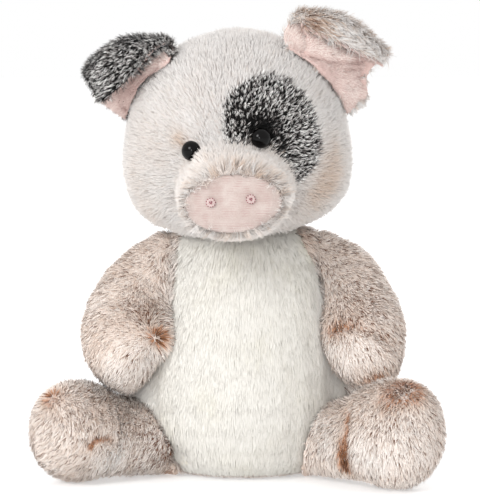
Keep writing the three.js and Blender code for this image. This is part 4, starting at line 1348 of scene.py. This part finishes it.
def limb_skin(body, covers, depth, looks, joint, seed):
    """The skin of a stuffed arm or leg, shaped, combed from its joint down, and coloured."""
    skin = Skin(body, covers, [body + "_stuffing"], LIMB_VOXEL, depth)
    skin.plump(LIMB_ROOM)
    skin.swell(looks["swell"])
    skin.nudge(looks["nudge"])
    skin.creases(looks["creases"])
    skin.comb = skin.away(joint) * 1.7
    for place, reach in looks["fans"]:
        skin.fan(skin.spot(*place), reach)
    skin.long[:] = LIMB_PILE
    skin.tone += looks["pale"]
    skin.mottle((14, 0.06, seed), (5, 0.06, seed + 1), (2.6, 0.05, seed + 2))
    # Stains, and painted light and shade, as each part's rows say.
    skin.stains_and_painted_light(looks["stains_and_painted_light"])
    skin.thicken_dashes(looks["dashes"])
    return skin


def make_arm(side, seed):
    """An arm, with longer pile combed over its inner edge where the photograph shows it."""
    body, looks = f"{side}_arm", ARM_LOOKS[side]
    cover, flip = body + "_cover", -1 if side == "right" else 1
    skin = limb_skin(body, [cover], ARM_DEPTH, looks, SHOULDER * Vector((flip, 1, 1)), seed)
    for place in looks["edge"]:
        near = skin.fade_at(*place, 6)
        skin.lengthen(near, 2.6)
        skin.comb += along((-flip, -0.4, -0.7), skin.normals) * near[:, None] * 1.8
    backing(skin, body + "_backing", skin.all, "tan_pile", cover)
    pile(skin, body + "_pile", skin.all, "tan_pile", cover, seed, **TAN_PILE)
    wad(body + "_stuffing", body, "white_fibre", 2.0, 0.6, seed)


LEG_LOOKS = {
    "right": dict(
        swell=((46, 452, 16, -3.6), (62, 474, 12, -1.5), (165, 448, 10, 3.0), (140, 393, 12, 3.0),
               (60, 386, 16, 1.0), (120, 393, 10, 3.5)),
        nudge=(), fans=(((52, 398), 30),), down=0.15, pale=0.02,
        dashes=((112, 396, 12, 0.6), (142, 428, 12, 2.2), (170, 450, 10, 6.0), (75, 402, 12, 1.4),
                (150, 460, 12, 0.8), (113, 462, 11, -1.1), (85, 430, 10, 0.5)),
        # Painted shade in the crease between leg and belly from (166, 440) to (176, 468), and where the
        # foot meets the floor at (128, 483); painted light against the shade from the arm and belly at
        # (140, 406) and (160, 430).
        stains_and_painted_light=((52, 398, 6, -0.42), (113, 460, 12, 0.5), (128, 483, 5, -0.4), (172, 452, 7, -0.25),
                (166, 440, 8, -0.1), (176, 468, 6, -0.3), (140, 406, 18, 0.3), (160, 430, 12, 0.15),
                (146, 462, 10, 0.16)),
        # Both folds' shifts of tone are painted shade.
        creases=((((92, 446), (97, 438), (112, 438)), 2.6, 1.8, -0.5),
                 (((133, 448), (131, 466), (131, 478)), 2.0, 1.0, -0.3))),
    "left": dict(
        swell=((425, 390, 20, 2.6), (412, 398, 14, 3.0), (428, 412, 13, 2.2), (345, 393, 12, 2.0)),
        nudge=(), fans=(), down=0.85, pale=0.02,
        dashes=((400, 408, 16, 1.6), (385, 415, 12, 0.9), (335, 445, 10, 0.6), (344, 452, 6, 3.4),
                (370, 455, 17, -0.9), (425, 450, 14, -0.4)),
        # Painted shade where the foot meets the floor at (363, 483). The rows along the foot's seam,
        # from (348, 412) to (345, 463), are partly the seam's darker join and partly painted shade in
        # its fold.
        stains_and_painted_light=((410, 390, 10, -0.42), (392, 398, 10, -0.3), (363, 483, 6, -0.5), (328, 445, 10, 0.2),
                (322, 425, 10, 0.2), (366, 455, 12, 0.3), (400, 440, 20, 0.1), (348, 412, 7, -0.2),
                (344, 440, 5, -0.2), (343, 452, 6, -0.42), (345, 463, 5, -0.4)),
        # The fold's shift of tone is partly the seam's darker join and partly painted shade.
        creases=((((350, 418), (347, 432), (347, 450), (346, 468)), 3.2, 2.2, -0.3),)),
}


def make_leg(side, seed):
    """A leg and the foot sewn on at its crease, in one skin, with the pile combed partly down."""
    body, looks = f"{side}_leg", LEG_LOOKS[side]
    covers, flip = [body + "_cover", f"{side}_foot_cover"], -1 if side == "right" else 1
    skin = limb_skin(body, covers, LEG_DEPTH, looks, HIP * Vector((flip, 1, 1)), seed)
    down = looks["down"]
    skin.comb = skin.comb * (1 - down) + along((0, 0, -1), skin.normals) * down * 1.7
    foot = skin.on(covers[1])
    ends = ((body, ~foot, covers[0], seed), (f"{side}_foot", foot, covers[1], seed + 1))
    for name, keep, cover, number in ends:
        backing(skin, name + "_backing", keep, "tan_pile", cover)
    for name, keep, cover, number in ends:
        pile(skin, name + "_pile", keep, "tan_pile", cover, number, **TAN_PILE)
    wad(body + "_stuffing", body, "white_fibre", 2.0, 0.6, seed)


def make_tail():
    """The short curl at the back, combed from its root to its tip."""
    skin = Skin("tail", ["tail"], [], TAIL_VOXEL, TAIL_DEPTH, rounds=4)
    far = skin.far(TAIL_ROOT)
    skin.comb = skin.flow(skin.reach(np.argsort(far)[:30])) * 1.6
    skin.long[:] = TAIL_PILE
    piece("tail_backing", skin.mesh.copy(), "tail", "tan_pile", "tail", backings["tan_pile"])
    pile(skin, "tail_pile", skin.all, "tan_pile", "tail", 91, density=1.6, lock=1.8)


make_camera()
make_studio()
pile_tree = make_pile_tree()
stitch_tree = make_stitch_tree()
piles = {slot: pile_material(slot) for slot in PALETTES}
backings = {slot: backing_material(slot) for slot in PALETTES}
# The pad's groove colour is painted shade in the grooves between its ribs.
velours = {"pad": velour_material("pad_velour", (175, 156, 150), (197, 185, 179),
                                  groove=(176, 146, 142)),
           "lining": velour_material("lining_velour", (200, 170, 163), (222, 197, 190)),
           "thread": velour_material("nostril_thread", (112, 26, 50), (150, 52, 76)),
           "pale_thread": velour_material("nostril_pale_thread", (196, 172, 168), (218, 200, 196)),
           "dark_thread": velour_material("nostril_dark_thread", (112, 26, 50), (150, 56, 78))}
plastics = {"black_plastic": plastic_material("eye_plastic", (4, 3, 3), 0.14, 0.4),
            "white_plastic": plastic_material("washer_plastic", (225, 225, 220), 0.45)}
fibres = {"white_fibre": fibre_material("stuffing_fibre", (240, 240, 236)),
          "pellet_cloth": fibre_material("pellet_bag_cloth", (205, 200, 190))}
make_torso()
make_head()
make_ear("right", 41)
make_ear("left", 43)
make_arm("right", 51)
make_arm("left", 53)
make_leg("right", 61)
make_leg("left", 65)
make_tail()
